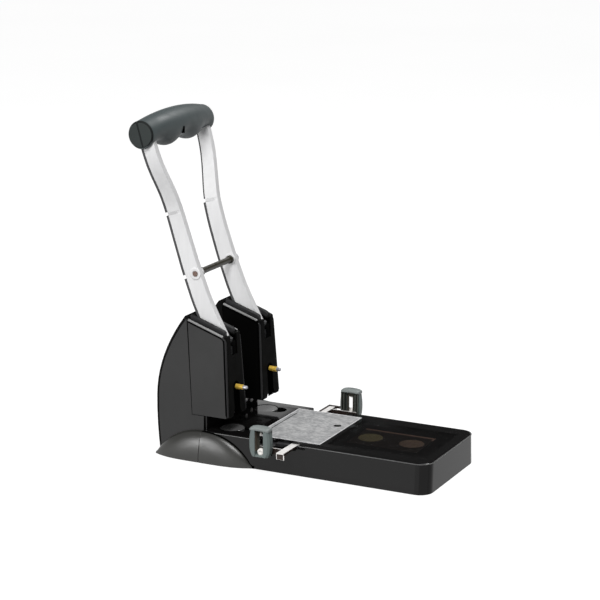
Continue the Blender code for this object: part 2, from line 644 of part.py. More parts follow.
def fill_guide_notches(shape):
    """Notches in both edges of the table, deep enough for the guide bars to slide out."""
    outer = BASE_FLANK_X + OVERRUN
    for side in (-1, 1):
        low_x, high_x = sorted((side * NOTCH_INNER_X, side * outer))
        fill_box(shape, (low_x, GUIDE_CENTRE_Y - NOTCH_FRONT_REACH, BAR_BOTTOM_Z - CLEARANCE),
                 (high_x, GUIDE_CENTRE_Y + NOTCH_BACK_REACH, TABLE_HEIGHT + OVERRUN))


def build_base(materials, root):
    """Base housing with all its openings."""
    shell = add_piece("base_shell", fill_base_body, materials["table_black"], root, smooth=True)
    cut_piece(shell, fill_base_cavity, root, "cavity")
    cut_piece(shell, fill_disc_wells, root, "disc_wells")
    cut_piece(shell, fill_finger_wells, root, "finger_wells")
    cut_piece(shell, fill_table_recesses, root, "recesses")
    cut_piece(shell, fill_tray_opening, root, "tray_opening")
    cut_piece(shell, fill_lid_bearings, root, "lid_bearings")
    cut_piece(shell, fill_guide_notches, root, "guide_notches")


def fill_bottom_plate(shape):
    """Flat steel plate that closes the underside and carries the tower frames."""
    outline = base_outline(BOTTOM_PLATE_HALF_WIDTH, BASE_FRONT_Y + BOTTOM_PLATE_FRONT_GAP,
                           BOTTOM_PLATE_BACK_Y, BASE_CORNER_RADIUS - BOTTOM_PLATE_FRONT_GAP)
    fill_rings(shape, [[(x, y, z) for x, y in outline]
                       for z in (BOTTOM_PLATE_Z, BOTTOM_PLATE_Z + BOTTOM_PLATE_THICKNESS)])


def make_foot(side, y):
    """One round rubber foot."""
    def fill(shape):
        foot_x = side * (BASE_HALF_WIDTH - FOOT_INSET_X)
        fill_turned(shape, (foot_x, y, 0.0), (0, 0, 1), ((0.0, FOOT_RADIUS), (FOOT_HEIGHT, FOOT_RADIUS)))
    return fill


def build_underside(materials, root):
    """Bottom plate and feet."""
    add_piece("bottom_plate", fill_bottom_plate, materials["dark_steel"], root)
    rows = (("front", BASE_FRONT_Y + FOOT_FRONT_INSET), ("rear", FOOT_BACK_Y))
    for row, y in rows:
        for side, word in ((-1, "left"), (1, "right")):
            add_piece(f"foot_{row}_{word}", make_foot(side, y), materials["rubber"], root, smooth=True)


# Table fittings: label plate, storage tray, lid and spare discs

def fill_label(shape):
    """Thin bare metal plate on the table."""
    floor = TABLE_HEIGHT - LABEL_RECESS + CLEARANCE
    fill_box(shape, (-LABEL_HALF_WIDTH, LABEL_FRONT_Y, floor),
             (LABEL_HALF_WIDTH, LABEL_BACK_Y, floor + LABEL_THICKNESS))


def fill_label_hole(shape):
    """Round hole near the front edge of the label plate."""
    fill_turned(shape, (LABEL_HOLE_X, LABEL_HOLE_Y, TABLE_HEIGHT - OVERRUN), (0, 0, 1),
                ((0.0, LABEL_HOLE_RADIUS), (2 * OVERRUN, LABEL_HOLE_RADIUS)))


def fill_tray(shape):
    """Storage tray with a flange that hangs under the table."""
    fill_box(shape, (-TRAY_HALF_WIDTH, TRAY_FRONT_Y, TRAY_WELL_Z - TRAY_FLOOR),
             (TRAY_HALF_WIDTH, TRAY_BACK_Y, TRAY_TOP_Z))


def fill_tray_flange(shape):
    """Flange of the tray, joined to its block."""
    top = BASE_SKIN_BOTTOM - CLEARANCE
    fill_box(shape, (-TRAY_HALF_WIDTH - TRAY_FLANGE, TRAY_FRONT_Y - TRAY_FLANGE, top - TRAY_FLANGE_THICKNESS),
             (TRAY_HALF_WIDTH + TRAY_FLANGE, TRAY_BACK_Y + TRAY_FLANGE, top))


def fill_tray_wells(shape):
    """Two round wells for the spare discs."""
    for y in (SPARE_REAR_Y, SPARE_FRONT_Y):
        place = (0.0, y, TRAY_WELL_Z)
        radius = DISC_RADIUS + DISC_CLEARANCE
        fill_turned(shape, place, (0, 0, 1), ((0.0, radius), (DISC_THICKNESS + OVERRUN, radius)))


def make_disc_filler(x, y, floor):
    """A plain round cutting disc standing on a floor."""
    def fill(shape):
        fill_turned(shape, (x, y, floor), (0, 0, 1), ((0.0, DISC_RADIUS), (DISC_THICKNESS, DISC_RADIUS)))
    return fill


def fill_lid(shape):
    """Flat smoked lid."""
    fill_box(shape, (-LID_HALF_WIDTH, LID_FRONT_Y, LID_BOTTOM_Z), (LID_HALF_WIDTH, LID_BACK_Y, LID_TOP_Z))


def fill_lid_pins(shape):
    """Two stub pins at the back corners of the lid."""
    for side in (-1, 1):
        place = (side * (LID_HALF_WIDTH - LID_PIN_LENGTH), LID_HINGE_Y, LID_HINGE_Z)
        fill_turned(shape, place, (side, 0, 0), ((0.0, LID_PIN_RADIUS), (2 * LID_PIN_LENGTH, LID_PIN_RADIUS)),
                    SMALL_SEGMENTS)


def fill_lid_notch(shape):
    """Finger notch in the front edge of the lid."""
    fill_turned(shape, (0.0, LID_FRONT_Y, LID_BOTTOM_Z - OVERRUN), (0, 0, 1),
                ((0.0, LID_NOTCH_RADIUS), (2 * OVERRUN, LID_NOTCH_RADIUS)))


def build_table_fittings(materials, root):
    """Everything that sits in the table."""
    label = add_piece("label_plate", fill_label, materials["label_metal"], root)
    cut_piece(label, fill_label_hole, root, "hole")
    tray = add_piece("storage_tray", fill_tray, materials["tray_plastic"], root)
    cut_piece(tray, fill_tray_flange, root, "flange", "UNION")
    cut_piece(tray, fill_tray_wells, root, "wells")
    for word, y in (("rear", SPARE_REAR_Y), ("front", SPARE_FRONT_Y)):
        add_piece(f"spare_disc_{word}", make_disc_filler(0.0, y, TRAY_TOP_Z - DISC_THICKNESS),
                  materials["disc_plastic"], root, smooth=True)
    hinge = make_empty("lid_axis", (0.0, LID_HINGE_Y, LID_HINGE_Z), root)
    lid = add_piece("storage_lid", fill_lid, materials["smoked_plastic"], hinge)
    cut_piece(lid, fill_lid_pins, hinge, "pins", "UNION")
    cut_piece(lid, fill_lid_notch, hinge, "notch")
    for side, word in ((-1, "left"), (1, "right")):
        centre = make_empty(f"disc_axis_{word}", (side * TOWER_X, DISC_Y, BED_TOP_Z), root)
        floor = BED_TOP_Z + CLEARANCE
        add_piece(f"cutting_disc_{word}", make_disc_filler(side * TOWER_X, DISC_Y, floor),
                  materials["disc_plastic"], centre, smooth=True)


# Towers: covers, caps and the shared rear cover

def tower_half_width(height):
    """Half width of a tower at a height."""
    span = TOWER_LIP_Z - TOWER_FLOOR_Z
    share = (height - TOWER_FLOOR_Z) / span
    return TOWER_FOOT_HALF_WIDTH + (TOWER_TOP_HALF_WIDTH - TOWER_FOOT_HALF_WIDTH) * share


def tower_front_y(height):
    """Front face of a tower at a height."""
    return TOWER_LIP_Y - TOWER_LEAN * (TOWER_LIP_Z - height)


def seam_y(height):
    """Seam between a tower cover and the rear cover at a height."""
    share = (height - TOWER_FLOOR_Z) / (SEAM_TOP_Z - TOWER_FLOOR_Z)
    return SEAM_FOOT_Y + (SEAM_TOP_Y - SEAM_FOOT_Y) * share


def tower_top_z(y):
    """Height of the sloping top at a place."""
    return TOWER_LIP_Z + TOWER_TOP_SLOPE * (y - TOWER_LIP_Y)


def tower_ring(centre_x, inset, height, back_extra, raise_top):
    """One ring of a tower block; the top ring follows the sloping top."""
    half = tower_half_width(height) - inset
    front = tower_front_y(height) + inset
    back = seam_y(height) + back_extra
    radius = max(TOWER_CORNER_RADIUS - inset, TOWER_INNER_CORNER_RADIUS)
    quarter = math.pi / 2
    plan = [(half, back)]
    plan += arc_points((half - radius, front + radius), radius, 0.0, -quarter, CORNER_STEPS)
    plan += arc_points((-half + radius, front + radius), radius, -quarter, -2 * quarter, CORNER_STEPS)
    plan.append((-half, back))
    ring = []
    for x, y in plan:
        z = height
        if raise_top is not None:
            z = tower_top_z(y) + raise_top
        ring.append((centre_x + x, y, z))
    return ring


def make_tower_block(centre_x):
    """Outer form of a tower cover."""
    def fill(shape):
        fill_rings(shape, [tower_ring(centre_x, 0.0, TOWER_FLOOR_Z, -CLEARANCE, None),
                           tower_ring(centre_x, 0.0, TOWER_LIP_Z, -CLEARANCE, 0.0)])
    return fill


def make_tower_cavity(centre_x):
    """Hollow of a tower cover, open at the top and at the back."""
    def fill(shape):
        fill_rings(shape, [tower_ring(centre_x, TOWER_WALL, TOWER_FLOOR_INNER_Z, OVERRUN, None),
                           tower_ring(centre_x, TOWER_WALL, TOWER_LIP_Z, OVERRUN, OVERRUN)])
    return fill


def make_arm_slot(centre_x):
    """Slot in the upper front wall for the lever arm."""
    def fill(shape):
        fill_box(shape, (centre_x - ARM_SLOT_HALF_WIDTH, TOWER_LIP_Y - 2 * OVERRUN, ARM_SLOT_BOTTOM_Z),
                 (centre_x + ARM_SLOT_HALF_WIDTH, TOWER_LIP_Y + TOWER_WALL + OVERRUN,
                  TOWER_LIP_Z + 2 * OVERRUN))
    return fill


def make_pin_slot(centre_x):
    """Slot in the lower front wall for the lock pin: round on top, flared at the bottom."""
    def fill(shape):
        arc_z = PIN_SLOT_TOP_Z - PIN_SLOT_HALF_WIDTH
        wide = PIN_SLOT_HALF_WIDTH + PIN_SLOT_FLARE
        flare_z = TOWER_FLOOR_Z + PIN_SLOT_FLARE_HEIGHT
        outline = [(-wide, TOWER_FLOOR_Z - OVERRUN), (wide, TOWER_FLOOR_Z - OVERRUN), (wide, TOWER_FLOOR_Z),
                   (PIN_SLOT_HALF_WIDTH, flare_z)]
        outline += arc_points((0.0, arc_z), PIN_SLOT_HALF_WIDTH, 0.0, math.pi, 2 * CORNER_STEPS)
        outline += [(-PIN_SLOT_HALF_WIDTH, flare_z), (-wide, TOWER_FLOOR_Z)]
        front = tower_front_y(TOWER_FLOOR_Z) - OVERRUN
        fill_rings(shape, [[(centre_x + x, y, z) for x, z in outline] for y in (front, GUIDE_FRONT_Y)])
    return fill


def make_stripper_hole(centre_x):
    """Hole in the tower's floor around the stripper plate."""
    def fill(shape):
        fill_box(shape, (centre_x - PLATE_INNER_X, GUIDE_FRONT_Y - CLEARANCE, TOWER_FLOOR_Z - OVERRUN),
                 (centre_x + PLATE_INNER_X, GUIDE_BACK_Y + CLEARANCE, TOWER_FLOOR_INNER_Z + OVERRUN))
    return fill


def make_column_hole(centre_x):
    """Opening in the tower's floor for the columns of the steel frame."""
    def fill(shape):
        half = PLATE_OUTER_X + CLEARANCE
        fill_box(shape, (centre_x - half, PLATE_COLUMN_FRONT_Y - CLEARANCE, TOWER_FLOOR_Z - OVERRUN),
                 (centre_x + half, PLATE_COLUMN_BACK_Y, TOWER_FLOOR_INNER_Z + OVERRUN))
    return fill


def make_cap(centre_x):
    """Dark cap recessed into the top of a tower cover."""
    def fill(shape):
        back = SEAM_TOP_Y - TOWER_WALL
        rings = []
        for sink in (CAP_SINK + CAP_THICKNESS, CAP_SINK):
            front = TOWER_LIP_Y + TOWER_WALL + CAP_EDGE_GAP
            ring = []
            for y, side in ((front, -1), (front, 1), (back, 1), (back, -1)):
                z = tower_top_z(y) - sink
                x = tower_half_width(z) - TOWER_WALL - CAP_EDGE_GAP
                ring.append((centre_x + side * x, y, z))
            rings.append(ring)
        fill_rings(shape, rings)
    return fill


def make_cap_slot(centre_x):
    """Slot in the cap that the arm stands in."""
    def fill(shape):
        fill_box(shape, (centre_x - CAP_SLOT_HALF_WIDTH, TOWER_LIP_Y - OVERRUN, TOWER_LIP_Z - 2 * OVERRUN),
                 (centre_x + CAP_SLOT_HALF_WIDTH, CAP_SLOT_BACK_Y, SEAM_TOP_Z + OVERRUN))
    return fill


def build_towers(materials, root):
    """Both tower covers with their caps."""
    for side, word in ((-1, "left"), (1, "right")):
        centre_x = side * TOWER_X
        cover = add_piece(f"tower_cover_{word}", make_tower_block(centre_x), materials["satin_black"],
                          root, smooth=True)
        cut_piece(cover, make_tower_cavity(centre_x), root, "cavity")
        cut_piece(cover, make_arm_slot(centre_x), root, "arm_slot")
        cut_piece(cover, make_pin_slot(centre_x), root, "pin_slot")
        cut_piece(cover, make_stripper_hole(centre_x), root, "stripper_hole")
        cut_piece(cover, make_column_hole(centre_x), root, "column_hole")
        cap = add_piece(f"tower_cap_{word}", make_cap(centre_x), materials["cap_plastic"], root)
        cut_piece(cap, make_cap_slot(centre_x), root, "arm_slot")


def rear_curve(inset):
    """Rear outline from the top corner down to the foot, moved in by a wall."""
    top_z = tower_top_z(REAR_CORNER_Y)
    points = []
    for step in range(REAR_UPPER_STEPS + 1):
        share = 1.0 - step / REAR_UPPER_STEPS
        y = REAR_BULGE_Y - (REAR_BULGE_Y - REAR_CORNER_Y) * share * share
        points.append((y - inset, REAR_BULGE_Z + (top_z - REAR_BULGE_Z) * share))
    for step in range(1, REAR_LOWER_STEPS + 1):
        share = step / REAR_LOWER_STEPS
        y = REAR_BULGE_Y - (REAR_BULGE_Y - REAR_FOOT_Y) * share * share
        points.append((y - inset, REAR_BULGE_Z + (BASE_GROUND_GAP - REAR_BULGE_Z) * share))
    return points


def flank_x(height):
    """Outer flank of the towers and of the rear cover at a height."""
    return TOWER_X + tower_half_width(height)


def gap_x(height):
    """Inner flank of a tower at a height: half of the gap between the towers."""
    return TOWER_X - tower_half_width(height)


def fill_between(shape, outline, low_x, high_x):
    """An outline of (y, z) points between two flanks given as functions of the height."""
    fill_rings(shape, [[(low_x(z), y, z) for y, z in outline], [(high_x(z), y, z) for y, z in outline]])


def fill_rear_body(shape):
    """Outer form of the rear cover."""
    shelf = TOWER_FLOOR_Z - CLEARANCE
    outline = [(REAR_NOTCH_Y, BASE_GROUND_GAP), (REAR_NOTCH_Y, shelf), (SEAM_FOOT_Y, shelf),
               (SEAM_TOP_Y, SEAM_TOP_Z)]
    outline += rear_curve(0.0)
    fill_between(shape, outline, lambda z: -flank_x(z), flank_x)


def rear_cavity_outline(open_front):
    """Section of the hollow of the rear cover."""
    curve = rear_curve(REAR_WALL)[1:]
    foot_y = curve[-1][0]
    curve.append((foot_y, -OVERRUN))
    top_z = curve[0][1]
    if open_front:
        shelf_y = PLATE_COLUMN_FRONT_Y - CLEARANCE
        outline = [(REAR_NOTCH_Y - OVERRUN, -OVERRUN), (REAR_NOTCH_Y - OVERRUN, TOWER_FLOOR_Z - REAR_WALL),
                   (shelf_y, TOWER_FLOOR_Z - REAR_WALL), (shelf_y, top_z)]
        return outline + curve
    inner_front = SEAM_FOOT_Y + REAR_WALL
    lower_curve = [(y, z) for y, z in curve if z < BRIDGE_Z - REAR_WALL]
    bridge_back = lower_curve[0][0]
    outline = [(REAR_NOTCH_Y - OVERRUN, -OVERRUN), (REAR_NOTCH_Y - OVERRUN, TOWER_FLOOR_Z - REAR_WALL),
               (inner_front, TOWER_FLOOR_Z - REAR_WALL),
               (seam_y(BRIDGE_Z) + REAR_WALL, BRIDGE_Z - REAR_WALL), (bridge_back, BRIDGE_Z - REAR_WALL)]
    return outline + lower_curve


def make_rear_cavity(side):
    """Hollow behind one tower, open at the seam and underneath."""
    def fill(shape):
        outline = rear_cavity_outline(True)
        fill_between(shape, outline, lambda z: side * (gap_x(z) + REAR_WALL),
                     lambda z: side * (flank_x(z) - REAR_WALL))
    return fill


def fill_rear_middle_cavity(shape):
    """Hollow between the towers, below the bridge."""
    outline = rear_cavity_outline(False)
    fill_between(shape, outline, lambda z: -(gap_x(z) + 2 * REAR_WALL), lambda z: gap_x(z) + 2 * REAR_WALL)


def fill_rear_gap(shape):
    """Open gap between the upper parts of the towers."""
    far = REAR_BULGE_Y + OVERRUN
    top = SEAM_TOP_Z + 2 * OVERRUN
    outline = [(SEAM_FOOT_Y - OVERRUN, BRIDGE_Z), (SEAM_FOOT_Y - OVERRUN, top), (far, top), (far, BRIDGE_Z)]
    fill_between(shape, outline, lambda z: -gap_x(z), gap_x)


def build_rear_cover(materials, root):
    """The one shell behind both towers."""
    cover = add_piece("rear_cover", fill_rear_body, materials["satin_black"], root, smooth=True)
    cut_piece(cover, fill_rear_gap, root, "gap")
    cut_piece(cover, make_rear_cavity(-1), root, "left_cavity")
    cut_piece(cover, make_rear_cavity(1), root, "right_cavity")
    cut_piece(cover, fill_rear_middle_cavity, root, "middle_cavity")


# Foot covers

def dome_share(y):
    """How far a place is from the seam of a foot cover, as a share of its front or rear half."""
    if y < DOME_SEAM_Y:
        return (DOME_SEAM_Y - y) / (DOME_SEAM_Y - DOME_FRONT_Y)
    return (y - DOME_SEAM_Y) / (DOME_BACK_Y - DOME_SEAM_Y)


def dome_height(y):
    """Height of the foot cover along the machine."""
    share = min(dome_share(y), 1.0 - DOME_END_SHARE)
    return DOME_HEIGHT * (1.0 - share ** DOME_CROWN_POWER) ** DOME_FLANK_POWER


def dome_reach(y):
    """How far the foot cover stands out at the desk."""
    return DOME_BULGE * max(1.0 - dome_share(y) ** DOME_PLAN_POWER, DOME_END_SHARE)


def make_dome(side, start_y, end_y, flank):
    """One half of a foot cover, between two places along the machine."""
    def fill(shape):
        rings = []
        for step in range(DOME_STEPS + 1):
            y = start_y + (end_y - start_y) * step / DOME_STEPS
            height = dome_height(y)
            reach = dome_reach(y)
            ring = [(side * (flank(BASE_GROUND_GAP) + CLEARANCE), y, BASE_GROUND_GAP)]
            for turn in range(DOME_ARC_STEPS + 1):
                angle = math.pi / 2 * turn / DOME_ARC_STEPS
                z = BASE_GROUND_GAP + height * math.sin(angle)
                stand = BASE_FLANK_X + CLEARANCE + reach * math.cos(angle)
                if turn == DOME_ARC_STEPS:
                    stand = flank(z) + 2 * CLEARANCE
                ring.append((side * stand, y, z))
            rings.append(ring)
        fill_rings(shape, rings)
    return fill


def build_foot_covers(materials, root):
    """Front and rear halves of both foot covers."""
    for side, word in ((-1, "left"), (1, "right")):
        add_piece(f"foot_cover_front_{word}",
                  make_dome(side, DOME_FRONT_Y, DOME_SEAM_Y - DOME_SEAM_GAP, base_half_width),
                  materials["satin_black"], root, smooth=True)
        add_piece(f"foot_cover_rear_{word}",
                  make_dome(side, DOME_SEAM_Y + DOME_SEAM_GAP, DOME_BACK_Y, flank_x),
                  materials["satin_black"], root, smooth=True)


# Steel frames, beds and back stop

def plate_outline():
    """C-shaped side plate of a tower frame, as (y, z) points."""
    jaw_top = BED_TOP_Z
    head_foot = TOWER_FLOOR_INNER_Z + CLEARANCE
    return [(PLATE_JAW_FRONT_Y, FRAME_FOOT_Z), (PLATE_COLUMN_BACK_Y, FRAME_FOOT_Z),
            (PLATE_COLUMN_BACK_Y, PLATE_SHOULDER_Z),
            (PIVOT_Y + CAM_HUB_RADIUS, PLATE_HEAD_TOP_Z),
            (PLATE_HEAD_FRONT_Y, PLATE_HEAD_TOP_Z - CAM_HUB_RADIUS),
            (PLATE_HEAD_FRONT_Y, head_foot), (PLATE_COLUMN_FRONT_Y, head_foot),
            (PLATE_COLUMN_FRONT_Y, jaw_top), (PLATE_JAW_FRONT_Y, jaw_top)]


def make_side_plates(centre_x):
    """Two steel side plates of a tower frame."""
    def fill(shape):
        for side in (-1, 1):
            inner = centre_x + side * PLATE_INNER_X
            fill_prism_x(shape, plate_outline(), inner, inner + side * PLATE_THICKNESS)
    return fill


def make_axle_bore(centre_x):
    """Bore for the lever's axle through both plates."""
    def fill(shape):
        radius = AXLE_RADIUS + AXLE_BORE_CLEARANCE
        reach = PLATE_OUTER_X + OVERRUN
        fill_turned(shape, (centre_x, PIVOT_Y, PIVOT_Z), (1, 0, 0), ((-reach, radius), (reach, radius)))
    return fill


def make_frame_block(centre_x):
    """Steel block between the plates: the post behind the throat and the bed under the punch."""
    def fill(shape):
        half = PLATE_INNER_X + PLATE_THICKNESS / 2
        post_y = PLATE_COLUMN_FRONT_Y + POST_GAP
        bed_foot = BED_TOP_Z - BED_DEPTH
        outline = [(BED_FRONT_Y, bed_foot), (post_y, bed_foot), (post_y, FRAME_FOOT_Z),
                   (PLATE_COLUMN_BACK_Y, FRAME_FOOT_Z), (PLATE_COLUMN_BACK_Y, POST_TOP_Z),
                   (post_y, POST_TOP_Z), (post_y, BED_TOP_Z), (BED_FRONT_Y, BED_TOP_Z)]
        fill_prism_x(shape, outline, centre_x - half, centre_x + half)
    return fill


def make_bed_well(centre_x):
    """Pit in the bed under the finger well."""
    def fill(shape):
        fill_turned(shape, (centre_x, FINGER_WELL_Y, BED_TOP_Z - FINGER_WELL_DEPTH), (0, 0, 1),
                    ((0.0, FINGER_WELL_RADIUS), (FINGER_WELL_DEPTH + OVERRUN, FINGER_WELL_RADIUS)))
    return fill


def fill_back_stop(shape):
    """Strip that the paper edge is pushed against."""
    fill_box(shape, (-BACK_STOP_HALF_WIDTH, BACK_STOP_Y, TABLE_HEIGHT + CLEARANCE),
             (BACK_STOP_HALF_WIDTH, BACK_STOP_Y + BACK_STOP_THICKNESS, TOWER_FLOOR_Z - CLEARANCE))


def build_frames(materials, root):
    """Steel frames of both towers, and the back stop."""
    for side, word in ((-1, "left"), (1, "right")):
        centre_x = side * TOWER_X
        frame = add_piece(f"tower_frame_{word}", make_side_plates(centre_x), materials["dark_steel"], root)
        cut_piece(frame, make_frame_block(centre_x), root, "block", "UNION")
        cut_piece(frame, make_axle_bore(centre_x), root, "axle_bore")
        cut_piece(frame, make_bed_well(centre_x), root, "finger_well")
    add_piece("back_stop", fill_back_stop, materials["table_black"], root)


# Punch units

def make_guide_block(centre_x):
    """Block with the square bore that the holder slides in."""
    def fill(shape):
        fill_box(shape, (centre_x - GUIDE_HALF_WIDTH, GUIDE_FRONT_Y, GUIDE_FOOT_Z),
                 (centre_x + GUIDE_HALF_WIDTH, GUIDE_BACK_Y, GUIDE_TOP_Z))
    return fill


def make_guide_bore(centre_x):
    """Square bore of the guide block."""
    def fill(shape):
        half = GUIDE_BORE_HALF_WIDTH
        fill_box(shape, (centre_x - half, PUNCH_Y - half, GUIDE_FOOT_Z - OVERRUN),
                 (centre_x + half, PUNCH_Y + half, GUIDE_TOP_Z + OVERRUN))
    return fill


def make_guide_slot(centre_x):
    """Front slot of the guide block for the lock pin, open at the bottom."""
    def fill(shape):
        fill_box(shape, (centre_x - GUIDE_SLOT_HALF_WIDTH, GUIDE_FRONT_Y - OVERRUN, GUIDE_FOOT_Z - OVERRUN),
                 (centre_x + GUIDE_SLOT_HALF_WIDTH, PUNCH_Y, GUIDE_TOP_Z + OVERRUN))
    return fill


def make_chip_slot(centre_x):
    """Slot in the back of the guide block that lets the chips out."""
    def fill(shape):
        fill_box(shape, (centre_x - GUIDE_SLOT_HALF_WIDTH, PUNCH_Y, GUIDE_FOOT_Z + CHIP_SLOT_RISE),
                 (centre_x + GUIDE_SLOT_HALF_WIDTH, GUIDE_BACK_Y + OVERRUN, GUIDE_TOP_Z + OVERRUN))
    return fill


def make_stripper(centre_x):
    """Plate at the tower's foot that strips the paper off the punch."""
    def fill(shape):
        fill_box(shape, (centre_x - GUIDE_HALF_WIDTH, GUIDE_FRONT_Y, STRIPPER_FOOT_Z),
                 (centre_x + GUIDE_HALF_WIDTH, GUIDE_BACK_Y, STRIPPER_TOP_Z))
    return fill


def make_stripper_bore(centre_x):
    """Round bore of the stripper plate."""
    def fill(shape):
        radius = PUNCH_RADIUS + STRIPPER_BORE_CLEARANCE
        fill_turned(shape, (centre_x, PUNCH_Y, STRIPPER_FOOT_Z - OVERRUN), (0, 0, 1),
                    ((0.0, radius), (STRIPPER_THICKNESS + 2 * OVERRUN, radius)))
    return fill


def make_punch(centre_x):
    """Hollow punch: a steel tube with a bevelled cutting edge."""
    def fill(shape):
        place = (centre_x, PUNCH_Y, PUNCH_TIP_Z)
        top = HOLDER_BOTTOM_Z + PUNCH_SEAT - PUNCH_TIP_Z
        fill_tube(shape, place, (0, 0, 1), 0.0, top, PUNCH_RADIUS, PUNCH_BORE_RADIUS)
    return fill


def make_holder_body(centre_x):
    """Square body of the holder."""
    def fill(shape):
        fill_box(shape, (centre_x - HOLDER_HALF_WIDTH, PUNCH_Y - HOLDER_HALF_WIDTH, HOLDER_BOTTOM_Z),
                 (centre_x + HOLDER_HALF_WIDTH, PUNCH_Y + HOLDER_HALF_WIDTH, HOLDER_BODY_TOP_Z))
    return fill


def make_holder_stem(centre_x):
    """Round stem and flange of the holder."""
    def fill(shape):
        place = (centre_x, PUNCH_Y, HOLDER_BODY_TOP_Z - OVERRUN)
        stem = HOLDER_FLANGE_Z - HOLDER_BODY_TOP_Z + OVERRUN
        fill_turned(shape, place, (0, 0, 1),
                    ((0.0, HOLDER_STEM_RADIUS), (stem, HOLDER_STEM_RADIUS), (stem, HOLDER_FLANGE_RADIUS),
                     (stem + HOLDER_FLANGE_THICKNESS, HOLDER_FLANGE_RADIUS)))
    return fill


def make_holder_head(centre_x):
    """Flat-topped head that the cam pushes down."""
    def fill(shape):
        low = HOLDER_FLANGE_TOP_Z - HOLDER_FLANGE_THICKNESS / 2
        fill_box(shape, (centre_x - HOLDER_STEM_RADIUS, PUNCH_Y - HOLDER_HEAD_FRONT, low),
                 (centre_x + HOLDER_STEM_RADIUS, PUNCH_Y + HOLDER_HEAD_BACK, HOLDER_TOP_Z))
    return fill


def make_holder_bore(centre_x):
    """Bore in the holder for the hollow punch and its chips."""
    def fill(shape):
        radius = PUNCH_RADIUS + CLEARANCE
        place = (centre_x, PUNCH_Y, HOLDER_BOTTOM_Z - OVERRUN)
        fill_turned(shape, place, (0, 0, 1), ((0.0, radius), (OVERRUN + PUNCH_SEAT + CLEARANCE, radius),
                    (OVERRUN + PUNCH_SEAT + CLEARANCE, PUNCH_BORE_RADIUS),
                    (OVERRUN + HOLDER_BODY_HEIGHT, PUNCH_BORE_RADIUS)))
    return fill


def make_chip_window(centre_x):
    """Window at the back of the holder where the chips leave."""
    def fill(shape):
        low = HOLDER_BOTTOM_Z + PUNCH_SEAT + CLEARANCE
        fill_box(shape, (centre_x - PUNCH_BORE_RADIUS, PUNCH_Y, low),
                 (centre_x + PUNCH_BORE_RADIUS, PUNCH_Y + HOLDER_HALF_WIDTH + OVERRUN,
                  HOLDER_BODY_TOP_Z - RUNNING_CLEARANCE))
    return fill


def make_pin_bore(centre_x):
    """Cross bore in the front of the holder for the lock pin."""
    def fill(shape):
        radius = PIN_RADIUS + CLEARANCE
        place = (centre_x, PUNCH_Y - HOLDER_HALF_WIDTH - OVERRUN, PIN_Z)
        fill_turned(shape, place, (0, 1, 0), ((0.0, radius), (OVERRUN + PIN_SEAT_DEPTH + CLEARANCE, radius)),
                    SMALL_SEGMENTS)
    return fill


def make_lock_pin(centre_x):
    """Brass pin that locks the punch in its holder, with a round knob on its front."""
    def fill(shape):
        length = PIN_REACH - HOLDER_HALF_WIDTH + PIN_SEAT_DEPTH
        bevel = PIN_TIP_RADIUS / 2
        profile = ((-PIN_TIP_LENGTH, bevel), (bevel - PIN_TIP_LENGTH, PIN_TIP_RADIUS), (0.0, PIN_TIP_RADIUS),
                   (0.0, PIN_RADIUS), (length, PIN_RADIUS))
        fill_turned(shape, (centre_x, PUNCH_Y - PIN_REACH, PIN_Z), (0, 1, 0), profile, SMALL_SEGMENTS)
    return fill


def build_spring(word, centre_x, material, root):
    """Coiled return spring between the guide block and the holder's flange."""
    low = GUIDE_TOP_Z + CLEARANCE + SPRING_WIRE_RADIUS
    high = HOLDER_FLANGE_Z - CLEARANCE - SPRING_WIRE_RADIUS
    curve = bpy.data.curves.new(f"return_spring_{word}", "CURVE")
    curve.dimensions = "3D"
    curve.bevel_depth = SPRING_WIRE_RADIUS
    curve.bevel_resolution = 1
    curve.use_fill_caps = True
    spline = curve.splines.new("POLY")
    count = SPRING_TURNS * SPRING_POINTS_PER_TURN + 1
    spline.points.add(count - 1)
    for index in range(count):
        share = index / (count - 1)
        angle = math.tau * index / SPRING_POINTS_PER_TURN
        spline.points[index].co = (SPRING_RADIUS * math.cos(angle), SPRING_RADIUS * math.sin(angle),
                                   (high - low) * share, 1.0)
    spring = bpy.data.objects.new(f"return_spring_{word}", curve)
    bpy.context.scene.collection.objects.link(spring)
    spring.parent = root
    spring.location = (centre_x, PUNCH_Y, low)
    curve.materials.append(material)
    pitch = (high - low) / SPRING_TURNS
    print(f"return_spring_{word}: least gap between turns {pitch - 2 * SPRING_WIRE_RADIUS:.4f} m")


def build_punch_units(materials, root):
    """Guide block, stripper, holder, punch, lock pin and spring of both towers."""
    for side, word in ((-1, "left"), (1, "right")):
        x = side * TOWER_X
        block = add_piece(f"guide_block_{word}", make_guide_block(x), materials["dark_steel"], root)
        cut_piece(block, make_guide_bore(x), root, "bore")
        cut_piece(block, make_guide_slot(x), root, "slot")
        cut_piece(block, make_chip_slot(x), root, "chip_slot")
        stripper = add_piece(f"stripper_plate_{word}", make_stripper(x), materials["dark_steel"], root)
        cut_piece(stripper, make_stripper_bore(x), root, "bore")
        axis = make_empty(f"punch_axis_{word}", (x, PUNCH_Y, PUNCH_TIP_Z), root)
        steel = materials["bright_steel"]
        holder = add_piece(f"punch_holder_{word}", make_holder_body(x), steel, axis, smooth=True)
        cut_piece(holder, make_holder_stem(x), axis, "stem", "UNION")
        cut_piece(holder, make_holder_head(x), axis, "head", "UNION")
        cut_piece(holder, make_holder_bore(x), axis, "bore")
        cut_piece(holder, make_chip_window(x), axis, "chip_window")
        cut_piece(holder, make_pin_bore(x), axis, "pin_bore")
        add_piece(f"hollow_punch_{word}", make_punch(x), steel, axis, smooth=True)
        add_piece(f"lock_pin_{word}", make_lock_pin(x), materials["brass"], axis, smooth=True)
        build_spring(word, x, steel, root)


# Lever

